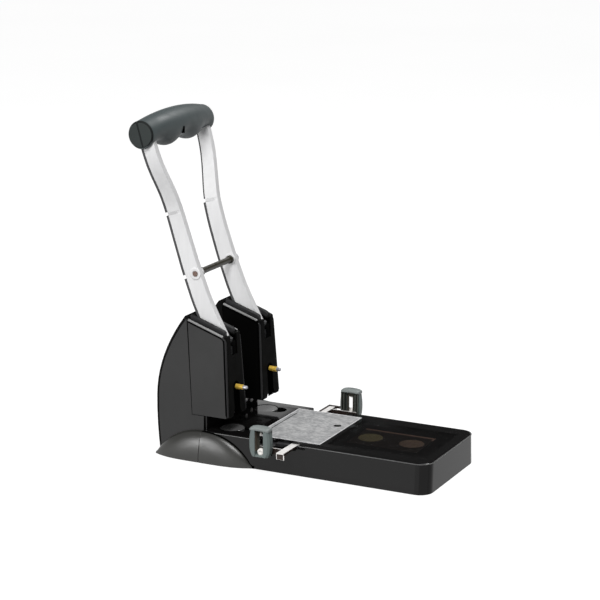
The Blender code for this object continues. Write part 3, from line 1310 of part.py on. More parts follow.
def arm_station(height):
    """Middle of an arm at a height: distance from the middle plane, and Y."""
    last = len(ARM_HEIGHTS) - 2
    index = 0
    while index < last and height > ARM_HEIGHTS[index + 1]:
        index += 1
    span = ARM_HEIGHTS[index + 1] - ARM_HEIGHTS[index]
    share = (height - ARM_HEIGHTS[index]) / span
    splay = ARM_SPLAY_SHARES[index] + (ARM_SPLAY_SHARES[index + 1] - ARM_SPLAY_SHARES[index]) * share
    setback = ARM_SETBACK_SHARES[index] + (ARM_SETBACK_SHARES[index + 1] - ARM_SETBACK_SHARES[index]) * share
    return TOWER_X + ARM_SPLAY * splay, ARM_FOOT_Y + ARM_SETBACK * setback


def arm_depth(height):
    """Depth of an arm across its length at a height."""
    share = (height - ARM_FOOT_Z) / ARM_LENGTH
    return ARM_FOOT_DEPTH + (ARM_TOP_DEPTH - ARM_FOOT_DEPTH) * share


def arm_back_direction(height):
    """Unit vector in the (y, z) plane that points from the front of an arm to its back."""
    step = ARM_LENGTH * ARM_LEAN_SHARE
    low = max(height - step, ARM_FOOT_Z)
    high = min(height + step, ARM_TOP_Z)
    lean = Vector((arm_station(high)[1] - arm_station(low)[1], high - low)).normalized()
    return Vector((lean.y, -lean.x))


def arm_point(side, height, across, back):
    """A point of an arm's section: across is along X, back is measured from its middle line."""
    x, y = arm_station(height)
    direction = arm_back_direction(height)
    return (side * x + across, y + direction.x * back, height + direction.y * back)


def make_arm(side):
    """Arm: a metal channel that is open to the back."""
    def fill(shape):
        half = ARM_WIDTH / 2
        inner = half - ARM_WALL
        rings = []
        for height in ARM_HEIGHTS:
            depth = arm_depth(height) / 2
            web = -depth + ARM_WALL
            section = ((-half, depth), (-half, -depth), (half, -depth), (half, depth),
                       (inner, depth), (inner, web), (-inner, web), (-inner, depth))
            rings.append([arm_point(side, height, across, back) for across, back in section])
        fill_rings(shape, rings)
    return fill


def make_strip(side):
    """Dark strip that closes the back of an arm."""
    def fill(shape):
        half = ARM_WIDTH / 2 - ARM_WALL - CLEARANCE
        middle = [height for height in ARM_HEIGHTS if STRIP_FOOT_Z < height < STRIP_TOP_Z]
        rings = []
        for height in [STRIP_FOOT_Z] + middle + [STRIP_TOP_Z]:
            edge = arm_depth(height) / 2
            section = ((-half, edge + STRIP_PROUD), (half, edge + STRIP_PROUD),
                       (half, edge - STRIP_DEPTH), (-half, edge - STRIP_DEPTH))
            rings.append([arm_point(side, height, across, back) for across, back in section])
        fill_rings(shape, rings)
    return fill


def cam_nose_points():
    """Involute working edge of the cam at rest, relative to the pivot, as (y, z) points."""
    points = []
    for step in range(CAM_STEPS + 1):
        swing = LEVER_SWING * step / CAM_STEPS
        reach = CAM_START + CAM_RATE * swing
        y = -CAM_RATE * math.cos(swing) - reach * math.sin(swing)
        z = CAM_RATE * math.sin(swing) - reach * math.cos(swing)
        points.append((y, z))
    return points


def make_cam(side):
    """Cam plate: hub, involute nose and the shank that goes up inside the arm."""
    def fill(shape):
        half = CAM_SHANK_HALF_DEPTH
        flat_angle = math.pi - math.asin(CAM_START / CAM_HUB_RADIUS)
        outline = [(PIVOT_Y + y, PIVOT_Z + z) for y, z in cam_nose_points()]
        for height, back in ((ARM_FOOT_Z, -half), (CAM_SHANK_TOP_Z, -half), (CAM_SHANK_TOP_Z, half),
                             (STRIP_FOOT_Z, half)):
            outline.append(arm_point(side, height, 0.0, back)[1:])
        outline += arc_points((PIVOT_Y, PIVOT_Z), CAM_HUB_RADIUS, CAM_BACK_ANGLE, -flat_angle,
                              2 * CORNER_STEPS)
        fill_prism_x(shape, outline, side * TOWER_X - CAM_HALF_THICKNESS, side * TOWER_X + CAM_HALF_THICKNESS)
    return fill


def make_axle(side):
    """Axle with a flat head on both sides of the frame."""
    def fill(shape):
        half = PLATE_OUTER_X + CLEARANCE
        end = half + AXLE_HEAD_HEIGHT
        profile = ((-end, AXLE_HEAD_RADIUS), (-half, AXLE_HEAD_RADIUS), (-half, AXLE_RADIUS),
                   (half, AXLE_RADIUS), (half, AXLE_HEAD_RADIUS), (end, AXLE_HEAD_RADIUS))
        fill_turned(shape, (side * TOWER_X, PIVOT_Y, PIVOT_Z), (1, 0, 0), profile)
    return fill


def rod_place(side):
    """Where the cross rod passes through an arm."""
    return arm_point(side, ROD_Z, 0.0, -ROD_FORWARD)


def make_rod_bore(side):
    """Bore for the rod's screw through an arm."""
    def fill(shape):
        radius = ROD_SCREW_RADIUS + CLEARANCE
        reach = ARM_WIDTH / 2 + OVERRUN
        fill_turned(shape, rod_place(side), (1, 0, 0), ((-reach, radius), (reach, radius)), SMALL_SEGMENTS)
    return fill


def fill_cross_rod(shape):
    """Round black rod between the arms."""
    x, y, z = rod_place(1)
    half = x - ARM_WIDTH / 2 - CLEARANCE
    fill_turned(shape, (0.0, y, z), (1, 0, 0), ((-half, ROD_RADIUS), (half, ROD_RADIUS)), SMALL_SEGMENTS)


def fill_rod_sockets(shape):
    """Threaded sockets in both ends of the cross rod."""
    x, y, z = rod_place(1)
    radius = ROD_SCREW_RADIUS + CLEARANCE
    depth = ARM_WIDTH / 2 + ROD_SCREW_REACH + OVERRUN
    for side in (-1, 1):
        fill_turned(shape, (side * (x - depth), y, z), (side, 0, 0), ((0.0, radius), (depth, radius)),
                    SMALL_SEGMENTS)


def make_rod_screw(side):
    """Screw that holds the rod from outside an arm; its head covers a pale washer."""
    def fill(shape):
        head = ARM_WIDTH / 2 + CLEARANCE
        fill_turned(shape, rod_place(side), (-side, 0, 0),
                    ((-head - ROD_RING_THICKNESS - ROD_SCREW_HEAD_HEIGHT, ROD_SCREW_HEAD_RADIUS),
                     (-head - ROD_RING_THICKNESS, ROD_SCREW_HEAD_RADIUS),
                     (-head - ROD_RING_THICKNESS, ROD_RING_RADIUS), (-head, ROD_RING_RADIUS),
                     (-head, ROD_SCREW_RADIUS), (head + ROD_SCREW_REACH, ROD_SCREW_RADIUS)), SMALL_SEGMENTS)
    return fill


def grip_axis(x):
    """Middle line of the grip, bowed upwards, as (y, z)."""
    share = x / GRIP_HALF_LENGTH
    return GRIP_Y + GRIP_BACK_BOW * share * share, GRIP_Z - GRIP_BOW * share * share


def grip_radius(x):
    """Radius of the grip along its length."""
    share = x / GRIP_HALF_LENGTH
    return GRIP_MIDDLE_RADIUS + (GRIP_END_RADIUS - GRIP_MIDDLE_RADIUS) * share * share


def grip_ring(x, trim):
    """Section of the grip, with finger waves along its lower front."""
    middle_y, middle_z = grip_axis(x)
    ring = []
    for step in range(GRIP_SIDES):
        angle = math.tau * (step + 0.5) / GRIP_SIDES
        radius = grip_radius(x) - trim
        wave = math.cos(math.tau * x / GRIP_FINGER_PITCH)
        facing = max(0.0, -math.cos(angle + GRIP_LEAN)) ** GRIP_FACING_POWER
        radius -= GRIP_FINGER_WAVE * facing * wave
        y = math.sin(angle) * radius
        z = math.cos(angle) * radius
        ring.append((x, middle_y + y, middle_z + z))
    return ring


def fill_grip_body(shape):
    """Whole outer form of the grip."""
    inner = GRIP_HALF_LENGTH - GRIP_END_ROUND
    rings = [grip_ring(-GRIP_HALF_LENGTH, GRIP_END_ROUND)]
    for step in range(GRIP_STATIONS + 1):
        rings.append(grip_ring(-inner + 2 * inner * step / GRIP_STATIONS, 0.0))
    rings.append(grip_ring(GRIP_HALF_LENGTH, GRIP_END_ROUND))
    fill_rings(shape, rings)


def make_grip_half_space(sign):
    """Block on one side of the split plane, which leans back with the arms."""
    def fill(shape):
        reach = 2 * GRIP_MIDDLE_RADIUS
        up = Vector((math.sin(GRIP_LEAN), math.cos(GRIP_LEAN)))
        away = Vector((math.cos(GRIP_LEAN), -math.sin(GRIP_LEAN))) * sign
        middle = Vector(grip_axis(GRIP_HALF_LENGTH))
        start = middle + away * GRIP_SPLIT_GAP
        corners = [start - up * reach, start + up * reach, start + up * reach + away * reach,
                   start - up * reach + away * reach]
        outline = [(corner.x, corner.y) for corner in corners]
        half = GRIP_HALF_LENGTH + OVERRUN
        fill_prism_x(shape, outline, -half, half)
    return fill


def tube_half_length():
    """The tube ends a little outside the arms."""
    return arm_station(TUBE_Z)[0] + ARM_WIDTH / 2 + TUBE_OVERHANG


def make_tube_bore(side):
    """Round bore through the top of an arm for the tube."""
    def fill(shape):
        x, y = arm_station(TUBE_Z)
        radius = TUBE_RADIUS + CLEARANCE
        reach = ARM_WIDTH / 2 + OVERRUN
        fill_turned(shape, (side * x, y, TUBE_Z), (1, 0, 0), ((-reach, radius), (reach, radius)),
                    SMALL_SEGMENTS)
    return fill


def fill_grip_tube_bore(shape):
    """Room inside the grip for the tube."""
    half = tube_half_length() + CLEARANCE
    radius = TUBE_RADIUS + CLEARANCE
    fill_turned(shape, (0.0, arm_station(TUBE_Z)[1], TUBE_Z), (1, 0, 0), ((-half, radius), (half, radius)))


def fill_grip_arm_pockets(shape):
    """Pockets in the grip for the ends of the arms."""
    half_x = ARM_WIDTH / 2 + CLEARANCE
    stations = ((ARM_HEIGHTS[-3], 0.0), (ARM_HEIGHTS[-2], 0.0), (STRIP_TOP_Z, 0.0), (ARM_TOP_Z, CLEARANCE))
    for side in (-1, 1):
        rings = []
        for height, lift in stations:
            half_y = arm_depth(height) / 2 + STRIP_PROUD + 2 * CLEARANCE
            ring = []
            for across, back in ((-half_x, -half_y), (half_x, -half_y), (half_x, half_y), (-half_x, half_y)):
                x, y, z = arm_point(side, height, across, back)
                ring.append((x, y, z + lift))
            rings.append(ring)
        fill_rings(shape, rings)


def fill_handle_tube(shape):
    """Steel tube through the upper ends of both arms."""
    half = tube_half_length()
    fill_tube(shape, (0.0, arm_station(TUBE_Z)[1], TUBE_Z), (1, 0, 0), -half, half, TUBE_RADIUS,
              TUBE_RADIUS - TUBE_WALL)


def build_lever(materials, root):
    """Everything that swings: cams, arms, strips, rod, tube and grip."""
    pivot = make_empty("lever_axis", (0.0, PIVOT_Y, PIVOT_Z), root)
    for side, word in ((-1, "left"), (1, "right")):
        centre_x = side * TOWER_X
        arm = add_piece(f"arm_{word}", make_arm(side), materials["arm_metal"], pivot, smooth=True)
        cut_piece(arm, make_rod_bore(side), pivot, "rod_bore")
        cut_piece(arm, make_tube_bore(side), pivot, "tube_bore")
        cam = add_piece(f"lever_cam_{word}", make_cam(side), materials["dark_steel"], pivot)
        cut_piece(cam, make_axle_bore(centre_x), pivot, "axle_bore")
        add_piece(f"arm_strip_{word}", make_strip(side), materials["strip_plastic"], pivot)
        add_piece(f"lever_axle_{word}", make_axle(side), materials["bright_steel"], root, smooth=True)
        add_piece(f"rod_screw_{word}", make_rod_screw(side), materials["bright_steel"], pivot, smooth=True)
    rod = add_piece("cross_rod", fill_cross_rod, materials["satin_black"], pivot, smooth=True)
    cut_piece(rod, fill_rod_sockets, pivot, "sockets")
    add_piece("handle_tube", fill_handle_tube, materials["bright_steel"], pivot, smooth=True)
    for sign, word in ((-1, "front"), (1, "rear")):
        grip = add_piece(f"grip_{word}", fill_grip_body, materials["grip_rubber"], pivot, smooth=True)
        cut_piece(grip, make_grip_half_space(sign), pivot, "half", "INTERSECT")
        cut_piece(grip, fill_grip_tube_bore, pivot, "tube_bore")
        cut_piece(grip, fill_grip_arm_pockets, pivot, "arm_pockets")


# Sliding paper guides

def turned_about(side, x, y):
    """The right-hand guide is the left-hand one turned half round about the pinion."""
    return (-side * x, GUIDE_CENTRE_Y - side * (y - GUIDE_CENTRE_Y))


def side_box(shape, side, low, high):
    """A block of the left-hand guide, or the same block turned to the right-hand side."""
    first = turned_about(side, low[0], low[1])
    second = turned_about(side, high[0], high[1])
    fill_box(shape, (min(first[0], second[0]), min(first[1], second[1]), low[2]),
             (max(first[0], second[0]), max(first[1], second[1]), high[2]))


def make_guide_bar(side):
    """Flat bar of a paper guide, with the flange turned down at its outer end."""
    def fill(shape):
        middle = GUIDE_CENTRE_Y - BAR_OFFSET
        low_y = middle - BAR_WIDTH / 2
        high_y = middle + BAR_WIDTH / 2
        side_box(shape, side, (-BAR_OUTER_X, low_y, BAR_BOTTOM_Z), (BAR_INNER_X, high_y, BAR_TOP_Z))
    return fill


def make_bar_flange(side):
    """Flange turned down at the outer end of a bar."""
    def fill(shape):
        middle = GUIDE_CENTRE_Y - BAR_OFFSET
        side_box(shape, side, (-BAR_OUTER_X, middle - BAR_WIDTH / 2, BAR_BOTTOM_Z - BAR_FLANGE_DROP),
                 (-BAR_OUTER_X + BAR_THICKNESS, middle + BAR_WIDTH / 2, BAR_TOP_Z - BAR_THICKNESS / 2))
    return fill


def make_bracket(side):
    """Upright plate behind the paper guide, joined to its bar."""
    def fill(shape):
        bar_edge = GUIDE_CENTRE_Y - BAR_OFFSET
        far_edge = GUIDE_CENTRE_Y + GUIDE_OFFSET + GUIDE_WIDTH / 2 - BRACKET_BACK_GAP
        side_box(shape, side, (-BRACKET_X - BAR_THICKNESS, bar_edge, BRACKET_FOOT_Z),
                 (-BRACKET_X, far_edge, BAR_TOP_Z))
    return fill


def make_bracket_hole(side):
    """Hole in the bracket for the guide's screw."""
    def fill(shape):
        x, y = turned_about(side, -BRACKET_X, GUIDE_CENTRE_Y + GUIDE_OFFSET)
        radius = GUIDE_SCREW_RADIUS + CLEARANCE
        fill_turned(shape, (x, y, GUIDE_SCREW_Z), (1, 0, 0), ((-OVERRUN, radius), (OVERRUN, radius)),
                    SMALL_SEGMENTS)
    return fill


def make_paper_guide(side):
    """Barrel-shaped plastic paper guide with a crowned top."""
    def fill(shape):
        rings = []
        for level in range(GUIDE_LEVELS + 1):
            share = level / GUIDE_LEVELS
            z = GUIDE_LOW_Z + GUIDE_HEIGHT * share
            half = GUIDE_WIDTH / 2 + GUIDE_SWELL * math.sin(math.pi * share)
            rings.append(guide_ring(side, 0.0, half, z))
        rings.append(guide_ring(side, GUIDE_CROWN, GUIDE_WIDTH / 2 - GUIDE_CROWN, GUIDE_HIGH_Z + GUIDE_CROWN))
        fill_rings(shape, rings)
    return fill


def guide_ring(side, inset, half, z):
    """One level of a paper guide, with small bevels at its corners."""
    bevel = GUIDE_CROWN
    inner = GUIDE_INNER_X + inset
    outer = GUIDE_OUTER_X - inset
    middle = GUIDE_CENTRE_Y + GUIDE_OFFSET
    plan = ((-outer, middle - half + bevel), (-outer + bevel, middle - half), (-inner - bevel, middle - half),
            (-inner, middle - half + bevel), (-inner, middle + half - bevel), (-inner - bevel, middle + half),
            (-outer + bevel, middle + half), (-outer, middle + half - bevel))
    return [(*turned_about(side, x, y), z) for x, y in plan]


def make_guide_recess(side):
    """Sunk panel in the outer face of a paper guide."""
    def fill(shape):
        middle = GUIDE_CENTRE_Y + GUIDE_OFFSET
        low = (-GUIDE_OUTER_X - OVERRUN, middle - GUIDE_RECESS_HALF_WIDTH,
               GUIDE_SCREW_Z - GUIDE_RECESS_FOOT_DROP)
        high = (-GUIDE_OUTER_X + GUIDE_RECESS_DEPTH, middle + GUIDE_RECESS_HALF_WIDTH,
                GUIDE_HIGH_Z - GUIDE_RECESS_TOP_MARGIN)
        side_box(shape, side, low, high)
    return fill


def make_guide_through_slot(side):
    """Upright slot through a paper guide for its screw."""
    def fill(shape):
        middle = GUIDE_CENTRE_Y + GUIDE_OFFSET
        low = (-GUIDE_OUTER_X - OVERRUN, middle - GUIDE_SLOT_RADIUS, GUIDE_SCREW_Z - GUIDE_SLOT_FOOT_DROP)
        high = (-BRACKET_X, middle + GUIDE_SLOT_RADIUS, GUIDE_HIGH_Z - GUIDE_SLOT_TOP_MARGIN)
        side_box(shape, side, low, high)
    return fill


def make_guide_screw(side):
    """Screw that holds a paper guide to its bracket."""
    def fill(shape):
        face = GUIDE_OUTER_X - GUIDE_RECESS_DEPTH + CLEARANCE
        x, y = turned_about(side, -face, GUIDE_CENTRE_Y + GUIDE_OFFSET)
        length = face - BRACKET_X + GUIDE_SCREW_GRIP
        fill_turned(shape, (x, y, GUIDE_SCREW_Z), (-side, 0, 0),
                    ((-GUIDE_SCREW_HEAD_HEIGHT, GUIDE_SCREW_CROWN_RADIUS),
                     (-GUIDE_SCREW_HEAD_HEIGHT / 2, GUIDE_SCREW_HEAD_RADIUS), (0.0, GUIDE_SCREW_HEAD_RADIUS),
                     (0.0, GUIDE_SCREW_RADIUS), (length, GUIDE_SCREW_RADIUS)), SMALL_SEGMENTS)
    return fill


def fill_guide_channel(shape):
    """Channel under the table that both bars slide in, as a comb-shaped section."""
    top = BASE_SKIN_BOTTOM - CLEARANCE
    floor = BAR_BOTTOM_Z - CLEARANCE
    half_slot = BAR_WIDTH / 2 + RUNNING_CLEARANCE
    outer = BAR_OFFSET + half_slot + CHANNEL_WALL
    foot = floor - CHANNEL_FLOOR
    outline = [(GUIDE_CENTRE_Y - outer, foot), (GUIDE_CENTRE_Y + outer, foot), (GUIDE_CENTRE_Y + outer, top)]
    for middle in (GUIDE_CENTRE_Y + BAR_OFFSET, GUIDE_CENTRE_Y - BAR_OFFSET):
        outline += [(middle + half_slot, top), (middle + half_slot, floor), (middle - half_slot, floor),
                    (middle - half_slot, top)]
    outline.append((GUIDE_CENTRE_Y - outer, top))
    fill_prism_x(shape, outline, -CHANNEL_HALF_LENGTH, CHANNEL_HALF_LENGTH)


def build_guides(materials, root):
    """Both paper guides with their bars, and the channel under the table."""
    add_piece("guide_channel", fill_guide_channel, materials["dark_steel"], root)
    for side, word in ((-1, "left"), (1, "right")):
        axis = make_empty(f"guide_axis_{word}", (0.0, GUIDE_CENTRE_Y + side * BAR_OFFSET, BAR_TOP_Z), root)
        bar = add_piece(f"guide_bar_{word}", make_guide_bar(side), materials["bright_steel"], axis)
        cut_piece(bar, make_bar_flange(side), axis, "flange", "UNION")
        cut_piece(bar, make_bracket(side), axis, "bracket", "UNION")
        cut_piece(bar, make_bracket_hole(side), axis, "screw_hole")
        x, y = turned_about(side, -BRACKET_X, GUIDE_CENTRE_Y + GUIDE_OFFSET)
        slide = make_empty(f"guide_slide_{word}", (x, y, GUIDE_SCREW_Z), axis)
        guide = add_piece(f"paper_guide_{word}", make_paper_guide(side), materials["guide_plastic"], slide,
                          smooth=True)
        cut_piece(guide, make_guide_recess(side), slide, "recess")
        cut_piece(guide, make_guide_through_slot(side), slide, "slot")
        add_piece(f"guide_screw_{word}", make_guide_screw(side), materials["pale_plastic"], axis, smooth=True)


def make_materials():
    """All finishes, by name."""
    return {
        "table_black": make_material("table_black", (0.012, 0.012, 0.013), 0.18),
        "satin_black": make_material("satin_black", (0.045, 0.045, 0.047), 0.45),
        "cap_plastic": make_material("cap_plastic", (0.03, 0.03, 0.03), 0.5),
        "dark_steel": make_material("dark_steel", (0.06, 0.06, 0.065), 0.45, 0.8),
        "bright_steel": make_material("bright_steel", (0.75, 0.75, 0.76), 0.2, 1.0),
        "brass": make_material("brass", (0.80, 0.60, 0.22), 0.25, 1.0),
        "arm_metal": make_material("arm_metal", (0.78, 0.78, 0.79), 0.35, 0.9),
        "strip_plastic": make_material("strip_plastic", (0.05, 0.05, 0.055), 0.4),
        "grip_rubber": make_material("grip_rubber", (0.06, 0.075, 0.08), 0.6),
        "rubber": make_material("rubber", (0.02, 0.02, 0.02), 0.8),
        "label_metal": make_material("label_metal", (0.45, 0.45, 0.45), 0.4, 0.6),
        "disc_plastic": make_material("disc_plastic", (0.12, 0.12, 0.12), 0.5),
        "tray_plastic": make_material("tray_plastic", (0.03, 0.026, 0.02), 0.5),
        "smoked_plastic": make_material("smoked_plastic", (0.02, 0.018, 0.016), 0.1, 0.0, 0.6),
        "guide_plastic": make_material("guide_plastic", (0.13, 0.16, 0.16), 0.55),
        "pale_plastic": make_material("pale_plastic", (0.80, 0.78, 0.74), 0.4),
    }


def main():
    """Build the whole machine under one root."""
    clear_scene()
    root = make_empty("machine_root", (0.0, ORIGIN_SHIFT_Y, 0.0))
    materials = make_materials()
    build_base(materials, root)
    build_underside(materials, root)
    build_table_fittings(materials, root)
    build_towers(materials, root)
    build_rear_cover(materials, root)
    build_foot_covers(materials, root)
    build_frames(materials, root)
    build_punch_units(materials, root)
    build_lever(materials, root)
    build_guides(materials, root)


main()
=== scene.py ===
import json
import math

import bmesh
import bpy
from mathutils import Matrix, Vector

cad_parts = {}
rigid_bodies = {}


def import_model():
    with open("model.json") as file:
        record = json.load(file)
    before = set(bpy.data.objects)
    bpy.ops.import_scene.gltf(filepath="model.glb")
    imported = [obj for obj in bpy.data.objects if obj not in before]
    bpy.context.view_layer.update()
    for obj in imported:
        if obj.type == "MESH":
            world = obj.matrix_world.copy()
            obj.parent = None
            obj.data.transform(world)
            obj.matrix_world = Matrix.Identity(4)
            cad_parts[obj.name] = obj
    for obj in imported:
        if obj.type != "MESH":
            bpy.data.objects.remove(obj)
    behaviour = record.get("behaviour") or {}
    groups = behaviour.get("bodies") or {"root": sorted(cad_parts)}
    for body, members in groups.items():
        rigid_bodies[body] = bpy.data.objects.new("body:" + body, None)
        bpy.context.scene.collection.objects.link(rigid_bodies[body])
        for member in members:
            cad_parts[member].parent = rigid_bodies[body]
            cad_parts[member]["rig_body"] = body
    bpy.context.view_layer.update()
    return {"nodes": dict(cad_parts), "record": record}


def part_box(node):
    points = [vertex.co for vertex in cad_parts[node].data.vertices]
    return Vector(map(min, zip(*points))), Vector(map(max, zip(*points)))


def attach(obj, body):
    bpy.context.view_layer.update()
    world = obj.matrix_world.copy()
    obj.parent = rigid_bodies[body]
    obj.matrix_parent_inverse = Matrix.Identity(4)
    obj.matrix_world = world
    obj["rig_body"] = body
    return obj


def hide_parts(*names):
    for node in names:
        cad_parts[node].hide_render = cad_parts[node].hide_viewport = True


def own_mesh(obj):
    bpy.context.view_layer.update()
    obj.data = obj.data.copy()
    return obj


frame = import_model()

SIDES = (("left", -1), ("right", 1))


def low(node):
    """Lowest corner of a CAD node's box."""
    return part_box(node)[0]


def high(node):
    """Highest corner of a CAD node's box."""
    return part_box(node)[1]


def middle(node):
    """Middle of a CAD node's box."""
    return (low(node) + high(node)) / 2


def joint(name):
    """A joint of the record."""
    return next(entry for entry in frame["record"]["behaviour"]["joints"] if entry["name"] == name)


# Driving places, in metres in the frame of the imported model
TABLE_Z = high("base_shell").z
BASE_HALF = high("base_shell").x
BASE_FRONT_Y = low("base_shell").y
SEAM_Y = high("base_shell").y
TOWER_X = middle("cutting_disc_right").x
PUNCH_Y = middle("hollow_punch_left").y
PIVOT = Vector(joint("lever_swing")["pos_m"])

# Arms: the CAD arm's own line, with more stations
ARM_FOOT = Vector((PUNCH_Y + 0.0063, PIVOT.z + 0.0090))
ARM_LENGTH = 0.2270
ARM_SETBACK = 0.0770
ARM_SPLAY = 0.0202
ARM_HALF_WIDTH = 0.0050
ARM_FOOT_HALF_DEPTH = 0.0104
ARM_TOP_HALF_DEPTH = 0.0069
ARM_ROUND = 0.0008
ARM_FRONT_ROUND = 0.0040
ARM_STEPS = 72
ARM_SMOOTHING = 0.035
ARM_LEAN_REACH = 0.02
# Stations of an arm's line: shares of its length, its setback and its splay
ARM_STATIONS = (
    (0.0, 0.0, 0.0), (0.0837, 0.1299, 0.0), (0.1674, 0.2494, 0.0), (0.3216, 0.4208, 0.0),
    (0.4758, 0.5675, 0.0), (0.5859, 0.6610, 0.06), (0.6410, 0.6987, 0.18), (0.6960, 0.7364, 0.37),
    (0.7511, 0.7831, 0.60), (0.8062, 0.8312, 0.82), (0.8722, 0.8883, 0.95), (1.0, 1.0, 1.0),
)
BAND_SHARE = 0.588
BAND_HALF = 0.0060
ROD_SHARE = 0.2921
# Bosses on the faces towards -X are the wider ones
BOSS_RADIUS = {-1: 0.0066, 1: 0.0050}
BOSS_HEIGHT = 0.0010
STRIP_SHARES = ((0.030, 0.283), (0.300, 0.580), (0.596, 0.935))
STRIP_STEPS = 24
STRIP_PROUD = 0.0027
STRIP_THIN = 0.0014
COLLAR_PROFILE = ((0.0, 0.0046), (0.0040, 0.0046), (0.0056, 0.0036), (0.0060, 0.0036))
ROD_SCREW_PROFILE = ((0.0, 0.0030), (0.0012, 0.0030), (0.0017, 0.0022))

# Grip
GRIP_HALF = high("grip_front").x
GRIP_CENTRE = Vector((ARM_FOOT.x + ARM_SETBACK - 0.0015, ARM_FOOT.y + ARM_LENGTH - 0.0036))
GRIP_BOW = Vector((0.0031, -0.0035))
GRIP_MIDDLE_RADIUS = 0.0187
GRIP_END_RADIUS = 0.0147
GRIP_END_ROUND = 0.0026
GRIP_LEAN = math.radians(15.5)
FINGER_PITCH = 0.0490
FINGER_WAVE = 0.0034
FINGER_INSET = 0.0014
FINGER_TURN = math.radians(14.0)
SEAM_GAP = 0.00022
GRIP_END_GAP = 0.0011
GRIP_STATIONS = 64
GRIP_ARC_STEPS = 30

# Base: round corners of the table, and the painted highlight line round its top
TABLE_HALF = 0.0659
BASE_CORNER = 0.0150
BASE_DRAFT = 0.0020
BASE_RIM_BACK_Y = -0.0340
BASE_RIM_RADIUS = 0.0006
BASE_RIM_INSET = 0.0002
BASE_RIM_DROP = 0.0008
STOP_SCREWS = (("upper", 0.0307, 0.0440), ("lower", 0.0436, 0.0405))

# Rear cover: rounded edges behind the seam, and the lean of its flanks
SEAM_BACK_Y = 0.1140
REAR_ROUND = 0.0046
FLANK_TAPER = 0.0500
FLANK_FOOT_Z = 0.0500

# Towers: half width, front and top edges against the height
TOWER_HALF_AT_FLOOR = 0.0218
TOWER_NARROWING = 0.0045
TOWER_FLOOR_Z = low("tower_cover_left").z
TOWER_FRONT_Y = low("tower_cover_left").y
TOWER_LEAN = 0.0534
TOWER_TOP_SLOPE = 0.3425
TOWER_TOP_FRONT = Vector((0.0659, 0.1400))
TOWER_TOP_BACK_Y = high("tower_cover_left").y - 0.0006
TOWER_EDGE_ROUND = 0.0070
TOWER_STRAIGHT_TOP_Z = 0.1300
TOWER_TURN_START_Z = 0.1340
TOWER_TURN_Z = 0.1388
TOWER_TURN_DEPTH = 0.0047
TOWER_TURN_STEPS = 8

# Trim of a tower: groove and pin slot painted as shade, rims painted as highlights along the top and round
# the turn, cheeks and pin; a rim is a stretch of the edge's points
GROOVE_INSETS = (0.0020, 0.0036)
RIM_RADIUS = 0.0013
RIM_FRONT_INSET = 0.0016
TOWER_RIMS = (("top", slice(8, None), 0.0007, "rim_highlight_grey"), ("turn", slice(5, 9), RIM_FRONT_INSET, "rim_dim_highlight"),
              ("front", slice(0, 6), RIM_FRONT_INSET, "cheek_black"))
CHEEK_FRONT_Y = TOWER_FRONT_Y + 0.0090
CHEEK_OUTLINE = ((CHEEK_FRONT_Y, -0.0020), (CHEEK_FRONT_Y, 0.0022), (CHEEK_FRONT_Y + 0.0018, 0.0036),
                 (TOWER_TOP_BACK_Y, 0.0036), (TOWER_TOP_BACK_Y, -0.0020))
CHEEK_SPAN = (0.0064, 0.0122)
PIN_SLOT_HALF = 0.0062
PIN_TIP = 0.0052
PIN_PROFILE = ((0.0, 0.0022), (0.0006, 0.0029), (0.0030, 0.0029), (0.0034, 0.0024), (0.0040, 0.0024),
               (0.0044, 0.0029))
PIN_TIP_PROFILE = ((0.0, 0.0008), (0.0005, 0.0016), (0.0014, 0.0021), (PIN_TIP + 0.0002, 0.0021))

# Paper guides: two cheeks, a slotted web between them and a cap
GUIDE_INSET = 0.0018
GUIDE_SHIFT = 0.0010
GUIDE_HALF = 0.0110
GUIDE_SWELL = 0.0016
GUIDE_RECESS = 0.0050
GUIDE_CAP_DROP = 0.0030
GUIDE_WEB_FRONT = 0.0060
GUIDE_WEB_BACK = 0.0072
GUIDE_SLOT_HALF = 0.0023
GUIDE_SLOT_LOW = 0.0030
GUIDE_SLOT_HIGH = 0.0245
GUIDE_RIBS = (-0.0100, -0.0070, 0.0070, 0.0100)
GUIDE_CAP_STEPS = ((-0.0010, 0.0), (-0.0004, 0.0005), (0.0014, 0.0004), (0.0024, -0.0004), (0.0029, -0.0018))
KNOB_PROFILE = ((0.0003, 0.0009), (-0.0002, 0.0014), (-0.0002, 0.0030), (0.0006, 0.0039), (0.0020, 0.0041),
                (0.0031, 0.0041), (0.0031, 0.0021), (0.0060, 0.0021))
# Width of the dark edge painted as shade along each guide bar, wider on the right
EDGE_SHADE_WIDTH = {"left": 0.0006, "right": 0.0026}

# Faces larger than this stay flat, in square metres
FLAT_AREA = 0.0002


# Materials

def new_material(name):
    """An empty node material: its tree, its shader and the coordinates its patterns use."""
    material = bpy.data.materials.new(name)
    material.use_nodes = True
    tree = material.node_tree
    coordinates = tree.nodes.new("ShaderNodeTexCoord")
    return material, tree, tree.nodes["Principled BSDF"], coordinates.outputs["Object"]


def set_inputs(tree, node, values):
    """Give inputs of a node, by name or number, a value or a link from another node."""
    for name, value in values.items():
        if isinstance(value, bpy.types.NodeSocket):
            tree.links.new(value, node.inputs[name])
        else:
            node.inputs[name].default_value = value


def add_node(tree, kind, inputs, output, **settings):
    """A shader node with its settings and inputs; gives one of its outputs."""
    node = tree.nodes.new(f"ShaderNode{kind}")
    for setting, value in settings.items():
        setattr(node, setting, value)
    set_inputs(tree, node, inputs)
    return node.outputs[output]


def add_noise(tree, vector, scale, detail=3.0, stretch=None):
    """A noise pattern, stretched along an axis where a stretch is given."""
    if stretch is not None:
        vector = add_node(tree, "Mapping", {"Vector": vector, "Scale": stretch}, "Vector")
    return add_node(tree, "TexNoise", {"Vector": vector, "Scale": scale, "Detail": detail}, "Fac")


